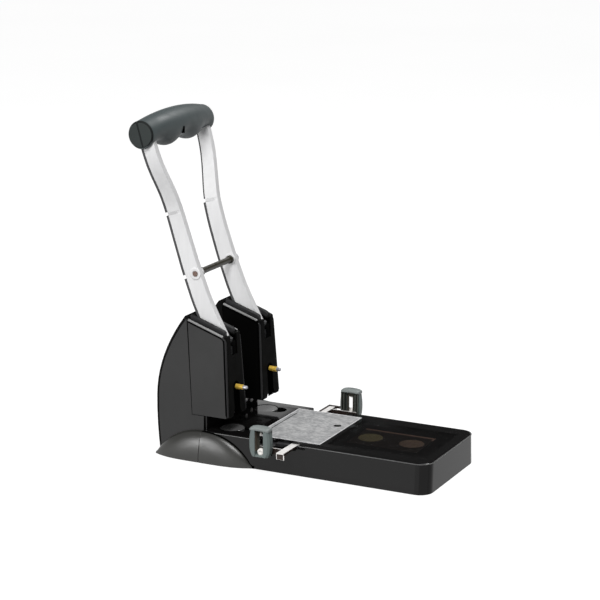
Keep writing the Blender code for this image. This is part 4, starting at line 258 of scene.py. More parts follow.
def add_ramp(tree, factor, first, last, start=0.35, end=0.65):
    """Map a pattern to colours between two ends."""
    ramp = tree.nodes.new("ShaderNodeValToRGB")
    for element, position, colour in zip(ramp.color_ramp.elements, (start, end), (first, last)):
        element.position = position
        element.color = colour
    tree.links.new(factor, ramp.inputs["Fac"])
    return ramp.outputs["Color"]


def grey(value):
    """A neutral colour with alpha."""
    return (value, value, value, 1.0)


def shade(colour, factor):
    """A colour made lighter or darker."""
    return tuple(channel * factor for channel in colour) + (1.0,)


def add_bump(tree, shader, height, strength, distance):
    """Small surface relief from a pattern."""
    inputs = {"Height": height, "Strength": strength, "Distance": distance}
    set_inputs(tree, shader, {"Normal": add_node(tree, "Bump", inputs, "Normal")})


def combine(tree, operation, first, second):
    """A math node on two values, either of which may be a plain number."""
    return add_node(tree, "Math", {0: first, 1: second}, "Value", operation=operation)


def paint(tree, shader, cloud, patches, colour, spread, roughness, gloss):
    """Colour that varies with one pattern and roughness that varies with another."""
    tint = add_ramp(tree, cloud, shade(colour, 1.0 - spread), shade(colour, 1.0 + spread))
    rough = add_ramp(tree, patches, grey(roughness * gloss[0]), grey(roughness * gloss[1]))
    set_inputs(tree, shader, {"Base Color": tint, "Roughness": rough})


def plastic(name, colour, roughness, grain=900.0, relief=0.12, specular=0.5, spread=0.08, alpha=1.0):
    """Moulded plastic: fine grain, faint clouds and uneven gloss."""
    material, tree, shader, vector = new_material(name)
    cloud = add_noise(tree, vector, CLOUD_SCALE)
    patches = add_noise(tree, vector, PATCH_SCALE)
    paint(tree, shader, cloud, patches, colour, spread, roughness, (0.9, 1.1))
    set_inputs(tree, shader, {"Specular IOR Level": specular, "Alpha": alpha})
    add_bump(tree, shader, add_noise(tree, vector, grain, 2.0), relief, RELIEF_DEPTH)
    return material


def metal(name, colour, roughness, stretch, metallic=1.0, spread=0.06, streak=400.0, specular=0.5):
    """Metal with fine streaks along one direction."""
    material, tree, shader, vector = new_material(name)
    streaks = add_noise(tree, vector, streak, 4.0, stretch)
    paint(tree, shader, streaks, streaks, colour, spread, roughness, (0.85, 1.2))
    set_inputs(tree, shader, {"Metallic": metallic, "Specular IOR Level": specular})
    add_bump(tree, shader, streaks, 0.06, RELIEF_DEPTH)
    return material


def label_finish(name):
    """Worn aluminium sheet: faint clouds and fine mottling."""
    material, tree, shader, vector = new_material(name)
    cloud = add_noise(tree, vector, 60.0, 5.0)
    mottle = add_noise(tree, vector, 620.0, 4.0, (1.0, 0.45, 1.0))
    mixed = combine(tree, "ADD", combine(tree, "MULTIPLY", cloud, 0.35),
                    combine(tree, "MULTIPLY", mottle, 0.65))
    tint = add_ramp(tree, mixed, (0.27, 0.275, 0.28, 1.0), (0.49, 0.49, 0.49, 1.0), 0.43, 0.58)
    rough = add_ramp(tree, mottle, grey(0.42), grey(0.6))
    set_inputs(tree, shader, {"Base Color": tint, "Roughness": rough, "Metallic": 0.25})
    add_bump(tree, shader, mottle, 0.35, 0.0002)
    return material


# Patterns that the finishes share: clouds, gloss patches and depth of the relief
CLOUD_SCALE = 22.0
PATCH_SCALE = 70.0
RELIEF_DEPTH = 0.0001

# Plastics: colour, roughness, grain, relief, specular level, spread of the colour, alpha
GLOSS_BLACK = (0.0040, 0.0038, 0.0038)
PLASTICS = {
    "table_black": (GLOSS_BLACK, 0.08, 500.0, 0.004, 0.30),
    # The front, corner and turn blacks are the table's black with less gloss. They are painted shade on the
    # base's front and its front corners.
    "front_shade_black": (GLOSS_BLACK, 0.12, 500.0, 0.004, 0.13),
    "corner_shade_black": (GLOSS_BLACK, 0.11, 500.0, 0.004, 0.17),
    "turn_shade_black": (GLOSS_BLACK, 0.10, 500.0, 0.004, 0.24),
    "smoked_plastic": (GLOSS_BLACK, 0.08, 300.0, 0.004, 0.30, 0.08, 0.42),
    # The next two blacks are darker copies of satin black, used as painted shade on the towers' inner sides,
    # fronts and tops, the rear cover's front and gap faces, and the parts inside the towers. The caps also
    # take the darker one.
    "inner_shade_black": ((0.0022, 0.0022, 0.0021), 0.6, 1100.0, 0.1, 0.01),
    "deep_black": ((0.0075, 0.0075, 0.0073), 0.6, 1100.0, 0.1, 0.01),
    "satin_black": ((0.027, 0.027, 0.027), 0.46, 1100.0, 0.15, 0.25),
    "cheek_black": ((0.028, 0.028, 0.029), 0.5, 1100.0, 0.1, 0.1),
    "dome_black": ((0.017, 0.017, 0.0145), 0.32, 1100.0, 0.10, 0.62),
    # Near black, painted as the shade in the towers' grooves, the pin slots, the grip's slot and the label's
    # pressed line. The foot covers' flanges use it too.
    "groove_shade_black": ((0.0012, 0.0012, 0.0012), 0.7, 900.0, 0.1, 0.0),
    "rod_black": ((0.024, 0.021, 0.012), 0.30, 900.0, 0.05, 0.30),
    # The two rim greys are painted highlights on the edges of the towers and the base.
    "rim_highlight_grey": ((0.24, 0.24, 0.24), 0.34, 1100.0, 0.03, 0.5),
    "rim_dim_highlight": ((0.07, 0.07, 0.07), 0.34, 1100.0, 0.03, 0.5),
    "wall_brown": ((0.13, 0.11, 0.085), 0.5, 900.0, 0.1, 0.2),
    "cap_plastic": ((0.030, 0.030, 0.031), 0.42),
    "strip_plastic": ((0.080, 0.080, 0.082), 0.45, 900.0, 0.1, 0.1),
    "grip_rubber": ((0.048, 0.061, 0.063), 0.54, 1300.0, 0.02, 0.42),
    "grip_seam": ((0.016, 0.018, 0.018), 0.6, 1300.0, 0.1, 0.05),
    "grip_end": ((0.040, 0.046, 0.045), 0.6, 1300.0, 0.25, 0.05),
    "rubber": ((0.02, 0.02, 0.02), 0.8, 700.0, 0.4),
    "disc_plastic": ((0.075, 0.075, 0.075), 0.11, 900.0, 0.02, 0.5),
    "spare_olive": ((0.24, 0.20, 0.10), 0.5, 900.0, 0.1, 0.1),
    "spare_brown": ((0.23, 0.155, 0.11), 0.5, 900.0, 0.1, 0.1),
    "tray_plastic": ((0.020, 0.013, 0.010), 0.5, 900.0, 0.1, 0.05),
    "tray_edge": ((0.27, 0.165, 0.125), 0.5, 900.0, 0.1, 0.1),
    "guide_plastic": ((0.125, 0.155, 0.150), 0.48),
    "guide_cap": ((0.21, 0.235, 0.23), 0.45),
    "guide_web": ((0.060, 0.058, 0.048), 0.5, 900.0, 0.1, 0.05),
    "guide_rib": ((0.075, 0.082, 0.072), 0.45, 900.0, 0.1, 0.2),
    "guide_inner": ((0.010, 0.011, 0.009), 0.5, 900.0, 0.1, 0.05),
    "pale_plastic": ((0.80, 0.78, 0.75), 0.35),
}

# Metals: colour, roughness, stretch of the streaks, metallic share, spread of the colour, scale of the
# streaks, specular level
METALS = {
    "arm_metal": ((0.77, 0.77, 0.775), 0.55, (1.0, 0.3, 0.04), 0.08, 0.035, 500.0, 0.12),
    "arm_shadow": ((0.56, 0.56, 0.565), 0.5, (1.0, 0.3, 0.04), 0.30),
    # Steel darkened as painted shade, for parts inside the towers.
    "dark_steel": ((0.022, 0.022, 0.024), 0.5, (1.0, 1.0, 0.1), 0.2),
    "bright_steel": ((0.92, 0.90, 0.88), 0.35, (1.0, 0.1, 1.0), 0.2),
    "pin_steel": ((0.42, 0.42, 0.46), 0.35, (1.0, 0.2, 1.0), 0.5),
    "brass": ((0.90, 0.60, 0.10), 0.42, (1.0, 0.2, 1.0), 0.5),
    # Dark brown painted as shade on the guide bars' edges and inside their turned-down ends.
    "edge_shade_brown": ((0.028, 0.017, 0.013), 0.4, (1.0, 1.0, 1.0), 0.3),
    "screw_brown": ((0.15, 0.095, 0.075), 0.4, (1.0, 1.0, 1.0), 0.3),
    "label_border": ((0.74, 0.74, 0.75), 0.4, (0.3, 1.0, 1.0), 0.2),
}

MATERIALS = {name: plastic(name, *values) for name, values in PLASTICS.items()}
MATERIALS.update({name: metal(name, *values) for name, values in METALS.items()})
MATERIALS["label_metal"] = label_finish("label_metal")


# Mesh tools

def place_object(name, data):
    """An object in the scene for a mesh, a lamp or a camera."""
    placed = bpy.data.objects.new(name, data)
    bpy.context.scene.collection.objects.link(placed)
    return placed


def add_piece(name, solids, finish, body, angle=34.0, bevel=0.0, steps=2, node=None):
    """A mesh piece that rides a body and may stand for a CAD node; a solid is a list of rings of points."""
    shape = bmesh.new()
    for rings in solids:
        skin(shape, rings)
    bmesh.ops.recalc_face_normals(shape, faces=shape.faces)
    return finish_piece(name, shape, (finish,), body, node, angle, bevel, steps)


def finish_piece(name, shape, finishes, body, node, angle, bevel, steps):
    """Make the object and give it its finishes, its rounding and its place in the model."""
    mesh = bpy.data.meshes.new(name)
    shape.to_mesh(mesh)
    shape.free()
    for finish in finishes:
        mesh.materials.append(MATERIALS[finish])
    mesh.shade_smooth()
    for polygon in mesh.polygons:
        polygon.use_smooth = polygon.area < FLAT_AREA
    mesh.set_sharp_from_angle(angle=math.radians(angle))
    piece = place_object(name, mesh)
    if bevel > 0.0:
        rounding = piece.modifiers.new("round", "BEVEL")
        rounding.width = bevel
        rounding.segments = steps
        rounding.limit_method = "ANGLE"
        rounding.angle_limit = math.radians(angle)
        # Bevels take the last finish. On the tower and rear covers that finish is the black darkened as
        # painted shade.
        rounding.material = len(finishes) - 1
    weighting = piece.modifiers.new("normals", "WEIGHTED_NORMAL")
    weighting.keep_sharp = True
    weighting.weight = 100
    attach(piece, body)
    if node is not None:
        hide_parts(node)
    return piece


def skin(shape, rings):
    """Skin a list of equal rings of points and close both ends."""
    loops = [[shape.verts.new(point) for point in ring] for ring in rings]
    for near, far in zip(loops, loops[1:]):
        for index in range(len(near)):
            following = (index + 1) % len(near)
            shape.faces.new((near[index], near[following], far[following], far[index]))
    shape.faces.new(loops[0])
    shape.faces.new(loops[-1])


def block(corner, opposite):
    """An axis-aligned block between two corners, in any order."""
    x0, x1 = sorted((corner[0], opposite[0]))
    y0, y1 = sorted((corner[1], opposite[1]))
    plan = ((x0, y0), (x1, y0), (x1, y1), (x0, y1))
    return [[(x, y, z) for x, y in plan] for z in sorted((corner[2], opposite[2]))]


def arc(steps, start=0.0, span=math.tau):
    """Cosines and sines at even steps of an arc; a full circle leaves its last step out."""
    count = steps if span == math.tau else steps + 1
    angles = [start + span * step / steps for step in range(count)]
    return [(math.cos(angle), math.sin(angle)) for angle in angles]


def turned(centre, axis, profile, segments):
    """A solid of revolution: the profile holds (distance along the axis, radius) pairs."""
    direction = Vector(axis).normalized()
    side = direction.orthogonal().normalized()
    other = direction.cross(side)
    return [[Vector(centre) + direction * distance + side * (radius * cos) + other * (radius * sin)
             for cos, sin in arc(segments)] for distance, radius in profile]


def directions(path):
    """Direction of a flat path at each of its points."""
    ends = [path[0]] + list(path) + [path[-1]]
    return [(Vector(ahead) - Vector(behind)).normalized() for behind, ahead in zip(ends, ends[2:])]


def round_back(shape):
    """Round the long back and top edges of the rear cover, in the darker black painted as shade."""
    chain = []
    for edge in shape.edges:
        if len(edge.link_faces) != 2:
            continue
        sides = [face for face in edge.link_faces if abs(face.normal.x) > 0.9]
        backs = [face for face in edge.link_faces if face.normal.y > 0.15 and abs(face.normal.x) < 0.3]
        centre = (edge.verts[0].co + edge.verts[1].co) / 2
        outside = abs(centre.x) > TOWER_X + 0.0100 and centre.y > SEAM_BACK_Y
        if len(sides) == 1 and len(backs) == 1 and outside:
            chain.append(edge)
    bmesh.ops.bevel(shape, geom=chain, offset=REAR_ROUND, offset_type="OFFSET", segments=4, profile=0.5,
                    affect="EDGES", clamp_overlap=True, material=1)


def copy_node(node, finish, radius=0.0, angle=32.0, pick=None, prepare=None):
    """A piece with a CAD solid's own form, its flat faces whole again and its edges rounded."""
    shape = bmesh.new()
    shape.from_mesh(frame["nodes"][node].data)
    bmesh.ops.remove_doubles(shape, verts=shape.verts, dist=0.000002)
    bmesh.ops.dissolve_limit(shape, angle_limit=math.radians(0.6), verts=shape.verts, edges=shape.edges)
    if pick is not None:
        for face in shape.faces:
            face.material_index = pick(face.calc_center_median(), face.normal)
    if prepare is not None:
        prepare(shape)
    body = frame["nodes"][node]["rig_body"]
    finishes = finish if isinstance(finish, tuple) else (finish,)
    return finish_piece(f"{node}_look", shape, finishes, body, node, angle, radius, 2)


# Base, table fittings and foot covers

def pick_base(centre, normal):
    """Finish of the base's faces: the table and sides, and less glossy copies of the same black on the front,
    the corner and the turn towards the sides, which read darker as painted shade.
    """
    if normal.y > -0.15 or abs(normal.z) > 0.5:
        return 0
    if normal.y < -0.80:
        return 1
    return 2 if normal.y < -0.45 else 3


def dress_base():
    """Base housing, label plate, discs and storage compartment."""
    finishes = ("table_black", "front_shade_black", "corner_shade_black", "turn_shade_black")
    copy_node("base_shell", finishes, 0.0, 40.0, pick_base)
    copy_node("back_stop", "table_black", 0.0003)
    copy_node("label_plate", "label_metal", 0.0001)
    add_base_rim()
    add_label_border()
    for word, _ in SIDES:
        copy_node(f"cutting_disc_{word}", "disc_plastic", 0.0005)
    copy_node("spare_disc_rear", "spare_olive", 0.0004)
    copy_node("spare_disc_front", "spare_brown", 0.0004)
    copy_node("storage_tray", "tray_plastic", 0.0003)
    copy_node("storage_lid", "smoked_plastic", 0.0002)
    add_tray_edges()
    add_stop_screws()


def add_base_rim():
    """Thin line painted as a highlight where the base's top rounds into its sides and front."""
    centre_x = TABLE_HALF - BASE_CORNER
    centre_y = BASE_FRONT_Y + BASE_CORNER
    rim_z = TABLE_Z - BASE_RIM_DROP
    plan = [(-TABLE_HALF, BASE_RIM_BACK_Y)]
    for sign, start in ((-1, math.pi), (1, 1.5 * math.pi)):
        plan += [(sign * centre_x + BASE_CORNER * cos, centre_y + BASE_CORNER * sin)
                 for cos, sin in arc(12, start, math.pi / 2)]
    plan.append((TABLE_HALF, BASE_RIM_BACK_Y))
    rings = []
    for (x, y), along in zip(plan, directions(plan)):
        ring = []
        for cos, sin in arc(8):
            out = BASE_RIM_RADIUS * cos - BASE_RIM_INSET
            ring.append((x + along.y * out, y - along.x * out, rim_z + BASE_RIM_RADIUS * sin))
        rings.append(ring)
    add_piece("base_rim", [rings], "rim_dim_highlight", "base", 60.0)


def add_label_border():
    """Bright border of the label plate and the pressed line near its rear edge."""
    near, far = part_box("label_plate")
    width = 0.0012
    top = far.z + 0.00006
    add_piece("label_border", [
        block((near.x, near.y, top), (near.x + width, far.y, far.z)),
        block((far.x - width, near.y, top), (far.x, far.y, far.z)),
        block((near.x + width, near.y, top), (far.x - width, near.y + width, far.z)),
        block((near.x + width, far.y - width, top), (far.x - width, far.y, far.z)),
    ], "label_border", "base")
    line = block((near.x + 0.004, far.y - 0.0062, top), (far.x - 0.016, far.y - 0.0052, far.z))
    add_piece("label_line", [line], "groove_shade_black", "base")


def add_tray_edges():
    """Pale edges of the tray that show through the smoked lid."""
    near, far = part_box("storage_tray")
    border = 0.0040
    top = far.z + 0.00008
    bottom = far.z - 0.0002
    outer_x = far.x - border
    inner_x = outer_x - 0.0036
    low_y = near.y + border
    add_piece("tray_edge", [
        block((outer_x, low_y, top), (inner_x, far.y - border, bottom)),
        block((inner_x, low_y, top), (outer_x - 0.0090, low_y + 0.0022, bottom)),
    ], "tray_edge", "base")


def add_stop_screws():
    """Two round-headed screws on the back stop, beside the far tower."""
    face = low("back_stop").y
    profile = ((0.0, 0.0026), (0.0010, 0.0026), (0.0017, 0.0015))
    for name, x, z in STOP_SCREWS:
        head = turned((x, face, z), (0, -1, 0), profile, 16)
        add_piece(f"stop_screw_{name}", [head], "bright_steel", "base")


# Foot covers
DOME_FRONT_Y = low("foot_cover_front_left").y
DOME_BACK_Y = high("foot_cover_rear_left").y
DOME_HEIGHT = high("foot_cover_front_left").z
DOME_GROUND_Z = low("foot_cover_front_left").z
DOME_BULGE = high("foot_cover_front_right").x - BASE_HALF
DOME_ARC_STEPS = 14
DOME_STEPS = 26
DOME_END = 0.985
DOME_FALL = 2.2
DOME_CROWN = 0.8
DOME_SQUARENESS = 0.35
DOME_GAP = 0.0003
DOME_LEAST = 0.0005


def flank(z, front):
    """Flank that a foot cover leans on: the base in front of the seam, the rear cover behind it."""
    if front:
        return BASE_HALF - BASE_DRAFT * z / TABLE_Z
    return TOWER_X + TOWER_HALF_AT_FLOOR - FLANK_TAPER * (z - FLANK_FOOT_Z)


def dome(side, start, end, front, swell, lift):
    """One half of a foot cover between two places along the machine."""
    edge_y = DOME_FRONT_Y if front else DOME_BACK_Y
    rings = []
    for step in range(DOME_STEPS + 1):
        y = start + (end - start) * step / DOME_STEPS
        share = min((y - SEAM_Y) / (edge_y - SEAM_Y), DOME_END)
        height = (DOME_HEIGHT - DOME_GROUND_Z) * (1.0 - share ** DOME_FALL) ** DOME_CROWN + lift
        reach = DOME_BULGE * swell * max(1.0 - share ** 4, 0.03)
        ring = [(side * (flank(0.0, front) + DOME_GAP), y, DOME_GROUND_Z)]
        for cos, sin in arc(DOME_ARC_STEPS, 0.0, math.pi / 2):
            z = DOME_GROUND_Z + height * sin
            stand = flank(z, front) + DOME_LEAST
            outer = BASE_HALF + DOME_GAP + reach * cos
            ring.append((side * max(stand, stand + (outer - stand) * cos ** DOME_SQUARENESS), y, z))
        rings.append(ring)
    return rings


def dress_foot_covers():
    """Foot covers in two halves, each with a thin flange along its edge."""
    for word, side in SIDES:
        front = dome(side, DOME_FRONT_Y, SEAM_Y - DOME_GAP, True, 1.0, 0.0)
        rear = dome(side, SEAM_Y + DOME_GAP, DOME_BACK_Y, False, 1.0, 0.0)
        flange = dome(side, DOME_FRONT_Y - 0.0030, SEAM_Y - DOME_GAP, True, 0.07, 0.0009)
        for half, rings in (("front", front), ("rear", rear)):
            add_piece(f"foot_cover_{half}_look_{word}", [rings], "dome_black", "base",
                      30.0, 0.0004, node=f"foot_cover_{half}_{word}")
        add_piece(f"foot_flange_{word}", [flange], "groove_shade_black", "base", 30.0)


# Towers

def pick_cover(side):
    """Finish of a tower cover's faces: satin black on its outer side, and darker copies of it on its inner
    side and the rest as painted shade.
    """
    def pick(centre, normal):
        if abs(normal.x) < 0.9:
            return 2
        return 0 if side * normal.x > 0.0 and side * centre.x > TOWER_X + 0.0120 else 1
    return pick


def pick_rear(centre, normal):
    """Finish of the rear cover's faces: darker black as painted shade where it faces the front or the gap."""
    return 1 if normal.y < -0.3 or abs(centre.x) < TOWER_X - 0.0100 and abs(normal.x) > 0.7 else 0


def dress_towers():
    """Tower covers, caps, rear cover and what shows inside them."""
    covers = ("satin_black", "inner_shade_black", "deep_black")
    for word, side in SIDES:
        copy_node(f"tower_cover_{word}", covers, 0.0009, 32.0, pick_cover(side))
        # Caps, guide blocks and frames take the darkest cover black. Inside the towers it is painted shade.
        copy_node(f"tower_cap_{word}", "deep_black", 0.0003)
        copy_node(f"guide_block_{word}", "deep_black", 0.0003)
        copy_node(f"tower_frame_{word}", "deep_black", 0.0003)
        spring = copy_node(f"return_spring_{word}", "bright_steel", 0.0, 60.0)
        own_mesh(spring)
        for edge, sign in (("outer", side), ("inner", -side)):
            add_tower_groove(f"{edge}_{word}", side, sign)
            add_tower_rims(f"{edge}_{word}", side, sign)
        add_tower_cheeks(word, side)
        add_pin_slot(word, side)
        add_pin(word)
    copy_node("rear_cover", ("satin_black", "deep_black"), 0.0007, 32.0, pick_rear, round_back)
    add_slot_stud()


def tower_top(y):
    """Height of a tower's sloping top."""
    return TOWER_TOP_FRONT.y + TOWER_TOP_SLOPE * (y - TOWER_TOP_FRONT.x)


def wall_x(side, sign, y, z):
    """Place across the machine of one side of a tower, which narrows towards its top."""
    share = (z - TOWER_FLOOR_Z) / (tower_top(y) - TOWER_FLOOR_Z)
    return side * TOWER_X + sign * (TOWER_HALF_AT_FLOOR - TOWER_NARROWING * min(share, 1.0))


def front_y(z):
    """Place along the machine of a tower's front, which leans back."""
    return TOWER_FRONT_Y + TOWER_LEAN * (z - TOWER_FLOOR_Z)


def tower_edge(inset):
    """Front and top edge of a tower's side, drawn in by an inset, as (y, z) points with a round corner."""
    radius = TOWER_EDGE_ROUND - inset
    foot_y = TOWER_FRONT_Y + inset
    drop = inset / math.cos(math.atan(TOWER_TOP_SLOPE))
    begin = Vector((front_y(TOWER_TURN_START_Z) + inset, TOWER_TURN_START_Z))
    turn = Vector((front_y(TOWER_TURN_Z) + inset, tower_top(foot_y + TOWER_TURN_DEPTH) - drop))
    finish = Vector((turn.x + radius, tower_top(turn.x + radius) - drop))
    points = [(foot_y, TOWER_FLOOR_Z + inset), (front_y(TOWER_STRAIGHT_TOP_Z) + inset, TOWER_STRAIGHT_TOP_Z)]
    for step in range(TOWER_TURN_STEPS + 1):
        part = step / TOWER_TURN_STEPS
        spot = begin * (1 - part) ** 2 + turn * 2 * part * (1 - part) + finish * part ** 2
        points.append((spot.x, spot.y))
    points.append((TOWER_TOP_BACK_Y, tower_top(TOWER_TOP_BACK_Y) - drop))
    return points


def add_tower_groove(name, side, sign):
    """Groove along the front and top edges of a tower's side, a near-black strip painted as the shade in it.
    """
    rings = []
    for near, far in zip(*(tower_edge(inset) for inset in GROOVE_INSETS)):
        corners = ((near, -0.0004), (far, -0.0004), (far, 0.00012), (near, 0.00012))
        rings.append([(wall_x(side, sign, y, z) + sign * lift, y, z) for (y, z), lift in corners])
    add_piece(f"tower_groove_{name}", [rings], "groove_shade_black", "base")


def add_tower_rims(name, side, sign):
    """Rounded rim along the edges of a tower's side, painted as a highlight: light grey along the top, dimmer
    round the turn.
    """
    for part, stretch, inset, finish in TOWER_RIMS:
        path = tower_edge(inset)[stretch]
        rings = []
        for (y, z), along in zip(path, directions(path)):
            outward = Vector((-along.y, along.x)) * RIM_RADIUS
            rings.append([(wall_x(side, sign, y, z) + sign * (-inset + RIM_RADIUS * sin),
                           y + outward.x * cos, z + outward.y * cos) for cos, sin in arc(14)])
        add_piece(f"tower_rim_{part}_{name}", [rings], finish, "base", 60.0)


def add_tower_cheeks(word, side):
    """Raised cheeks on both sides of the arm, on the tower's sloping top."""
    outline = [(y, tower_top(y) + rise) for y, rise in CHEEK_OUTLINE]
    for edge, sign in (("outer", 1), ("inner", -1)):
        cheek = [[(side * TOWER_X + sign * across, y, z) for y, z in outline] for across in CHEEK_SPAN]
        add_piece(f"tower_cheek_{edge}_{word}", [cheek], "cheek_black", "base",
                  30.0, 0.0006)


def add_pin(word):
    """Brass lock pin with a steel tip."""
    node = f"lock_pin_{word}"
    place = middle(node)
    near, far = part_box(node)
    profile = PIN_PROFILE + ((far.y - near.y - PIN_TIP, 0.0029),)
    brass = turned((place.x, near.y + PIN_TIP, place.z), (0, 1, 0), profile, 24)
    add_piece(f"lock_pin_look_{word}", [brass], "brass", f"punch_{word}", 30.0, node=node)
    tip = turned((place.x, near.y, place.z), (0, 1, 0), PIN_TIP_PROFILE, 20)
    add_piece(f"lock_pin_tip_{word}", [tip], "pin_steel", f"punch_{word}", 30.0)


def add_pin_slot(word, side):
    """Round-topped slot in the tower's front, behind the lock pin, drawn as a thin near-black sheet: painted
    shade inside the slot.
    """
    top_z = middle(f"lock_pin_{word}").z
    foot_z = TOWER_FLOOR_Z + 0.0010
    half = PIN_SLOT_HALF
    curve = [(half * cos, top_z + half * sin) for cos, sin in arc(16, 0.0, math.pi)]
    plan = [(half, foot_z)] + curve + [(-half, foot_z)]
    rings = [[(side * TOWER_X + x, front_y(z) + lift, z) for x, z in plan] for lift in (-0.0001, 0.0004)]
    add_piece(f"pin_slot_{word}", [rings], "groove_shade_black", "base")


def add_slot_stud():
    """Small bright stud at the foot of the near tower's pin slot."""
    profile = ((-0.0040, 0.0013), (0.0, 0.0013), (0.0006, 0.0007))
    stud = turned((-TOWER_X, TOWER_FRONT_Y + 0.0022, 0.0550), (0, -1, 0), profile, 16)
    add_piece("slot_stud", [stud], "bright_steel", "base")


# Lever

def arm_line(share):
    """Middle of an arm at a share of its length: distance from the middle plane, Y and Z."""
    index = sum(share > station[0] for station in ARM_STATIONS[1:-1])
    near, far = ARM_STATIONS[index:index + 2]
    part = (share - near[0]) / (far[0] - near[0])
    setback, splay = (near[place] + (far[place] - near[place]) * part for place in (1, 2))
    return TOWER_X + ARM_SPLAY * splay, ARM_FOOT.x + ARM_SETBACK * setback, ARM_FOOT.y + ARM_LENGTH * share


def smooth_line(share):
    """The arm's line, averaged over a short stretch so that it bends softly."""
    reach = ARM_SMOOTHING * min(1.0, max(share + 0.05, 0.0) / 0.05)
    picks = [min(share + reach * offset / 3, 1.0) for offset in range(-3, 4)]
    points = [Vector(arm_line(pick)) for pick in picks]
    return sum(points, Vector()) / len(points)


def half_depth(share):
    """Half depth of an arm, from its middle to its back."""
    return ARM_FOOT_HALF_DEPTH + (ARM_TOP_HALF_DEPTH - ARM_FOOT_HALF_DEPTH) * share


def arm_point(side, share, across, back):
    """A point beside the arm's line, at right angles to it."""
    ahead = smooth_line(min(share + ARM_LEAN_REACH, 1.0))
    behind = smooth_line(share - ARM_LEAN_REACH)
    lean = Vector((ahead.y - behind.y, ahead.z - behind.z)).normalized()
    place = smooth_line(share)
    return Vector((side * place.x + across, place.y, place.z)) + Vector((0.0, lean.y, -lean.x)) * back


def rounded_section(half_width, front, back, rear_radius, front_radius, steps):
    """Rectangle with round corners, as (across, back) points."""
    points = []
    corners = ((1, back - rear_radius, rear_radius, 0.0), (-1, back - rear_radius, rear_radius, math.pi / 2),
               (-1, front + rear_radius, rear_radius, math.pi),
               (1, front + front_radius, front_radius, 3 * math.pi / 2))
    for sign, depth, radius, start in corners:
        across = sign * (half_width - radius)
        quarter = arc(steps, start, math.pi / 2)
        points += [(across + radius * cos, depth + radius * sin) for cos, sin in quarter]
    return points


def arm(side):
    """Arm with soft corners and a narrow pressed band across it."""
    shares = [-0.036, -0.018] + [step / ARM_STEPS for step in range(ARM_STEPS + 1)]
    shares += [BAND_SHARE + offset for offset in (-0.0075, -BAND_HALF, BAND_HALF, 0.0075)]
    rings = []
    for share in sorted(shares):
        half = half_depth(share)
        inset = 0.00025 if abs(share - BAND_SHARE) < 0.0065 else 0.0
        section = rounded_section(ARM_HALF_WIDTH - inset, -half, half, ARM_ROUND, ARM_FRONT_ROUND, 6)
        rings.append([arm_point(side, share, across, back) for across, back in section])
    return rings


def arm_strip(side, start, end, proud):
    """One length of the dark strip along the back of an arm."""
    rings = []
    for step in range(STRIP_STEPS + 1):
        share = start + (end - start) * step / STRIP_STEPS
        half = half_depth(share)
        section = rounded_section(ARM_HALF_WIDTH + 0.0001, half - 0.0006, half + proud, 0.0006, 0.0006, 2)
        rings.append([arm_point(side, share, across, back) for across, back in section])
    return rings


def arm_band(side, across):
    """Pressed band across one face of an arm, at the upper break of the strip, in a darker grey painted as
    its shade.
    """
    rings = []
    for share in (BAND_SHARE - BAND_HALF, BAND_SHARE + BAND_HALF):
        front = -half_depth(share) * 0.45
        back = half_depth(share) - 0.0004
        corners = ((0.0044, front), (0.0052, front), (0.0052, back), (0.0044, back))
        rings.append([arm_point(side, share, across * out, depth) for out, depth in corners])
    return rings


def dress_arms():
    """Arms with their strips and bands, and the rod between them."""
    for word, side in SIDES:
        add_piece(f"arm_look_{word}", [arm(side)], "arm_metal", "lever", 30.0,
                  node=f"arm_{word}")
        for index, (start, end) in enumerate(STRIP_SHARES):
            node = f"arm_strip_{word}" if index == 0 else None
            proud = STRIP_THIN if index == 2 and side > 0 else STRIP_PROUD
            add_piece(f"arm_strip_look_{word}_{index}", [arm_strip(side, start, end, proud)],
                      "strip_plastic", "lever", 30.0, node=node)
        bands = [arm_band(side, across) for across in (-1, 1)]
        add_piece(f"arm_band_{word}", bands, "arm_shadow", "lever", 30.0)
        add_rod_ends(word, side)
    copy_node("cross_rod", "rod_black", 0.0004, 25.0)


def add_rod_ends(word, side):
    """Pale boss on both faces of an arm, the rod's collar inside and the brown screw outside."""
    rod = middle("cross_rod")
    arm_x = smooth_line(ROD_SHARE).x
    outer = (side * (arm_x + ARM_HALF_WIDTH), rod.y, rod.z)
    inner = (side * (arm_x - ARM_HALF_WIDTH), rod.y, rod.z)
    bosses = []
    for place, sign in ((outer, side), (inner, -side)):
        reach = BOSS_RADIUS[sign]
        profile = ((-0.0004, reach), (0.0006, reach), (BOSS_HEIGHT, reach - 0.0006), (BOSS_HEIGHT, 0.0036),
                   (0.0004, 0.0032))
        bosses.append(turned(place, (sign, 0, 0), profile, 36))
    add_piece(f"rod_boss_{word}", bosses, "arm_metal", "lever", 30.0, node=f"rod_screw_{word}")
    collar = turned(inner, (-side, 0, 0), COLLAR_PROFILE, 28)
    add_piece(f"rod_collar_{word}", [collar], "rod_black", "lever", 30.0)
    screw = turned(outer, (side, 0, 0), ROD_SCREW_PROFILE, 24)
    add_piece(f"rod_screw_look_{word}", [screw], "screw_brown", "lever", 30.0)


def grip_point(x, angle, trim):
    """A point of the grip's surface; the angle is measured from the top."""
    share = x / GRIP_HALF
    centre = GRIP_CENTRE + GRIP_BOW * share * share
    radius = GRIP_MIDDLE_RADIUS + (GRIP_END_RADIUS - GRIP_MIDDLE_RADIUS) * share * share - trim
    under = max(0.0, -math.cos(angle - FINGER_TURN)) ** 1.5
    radius -= under * (FINGER_INSET + FINGER_WAVE * math.cos(math.tau * x / FINGER_PITCH))
    return (x, centre.x + math.sin(angle) * radius, centre.y + math.cos(angle) * radius)


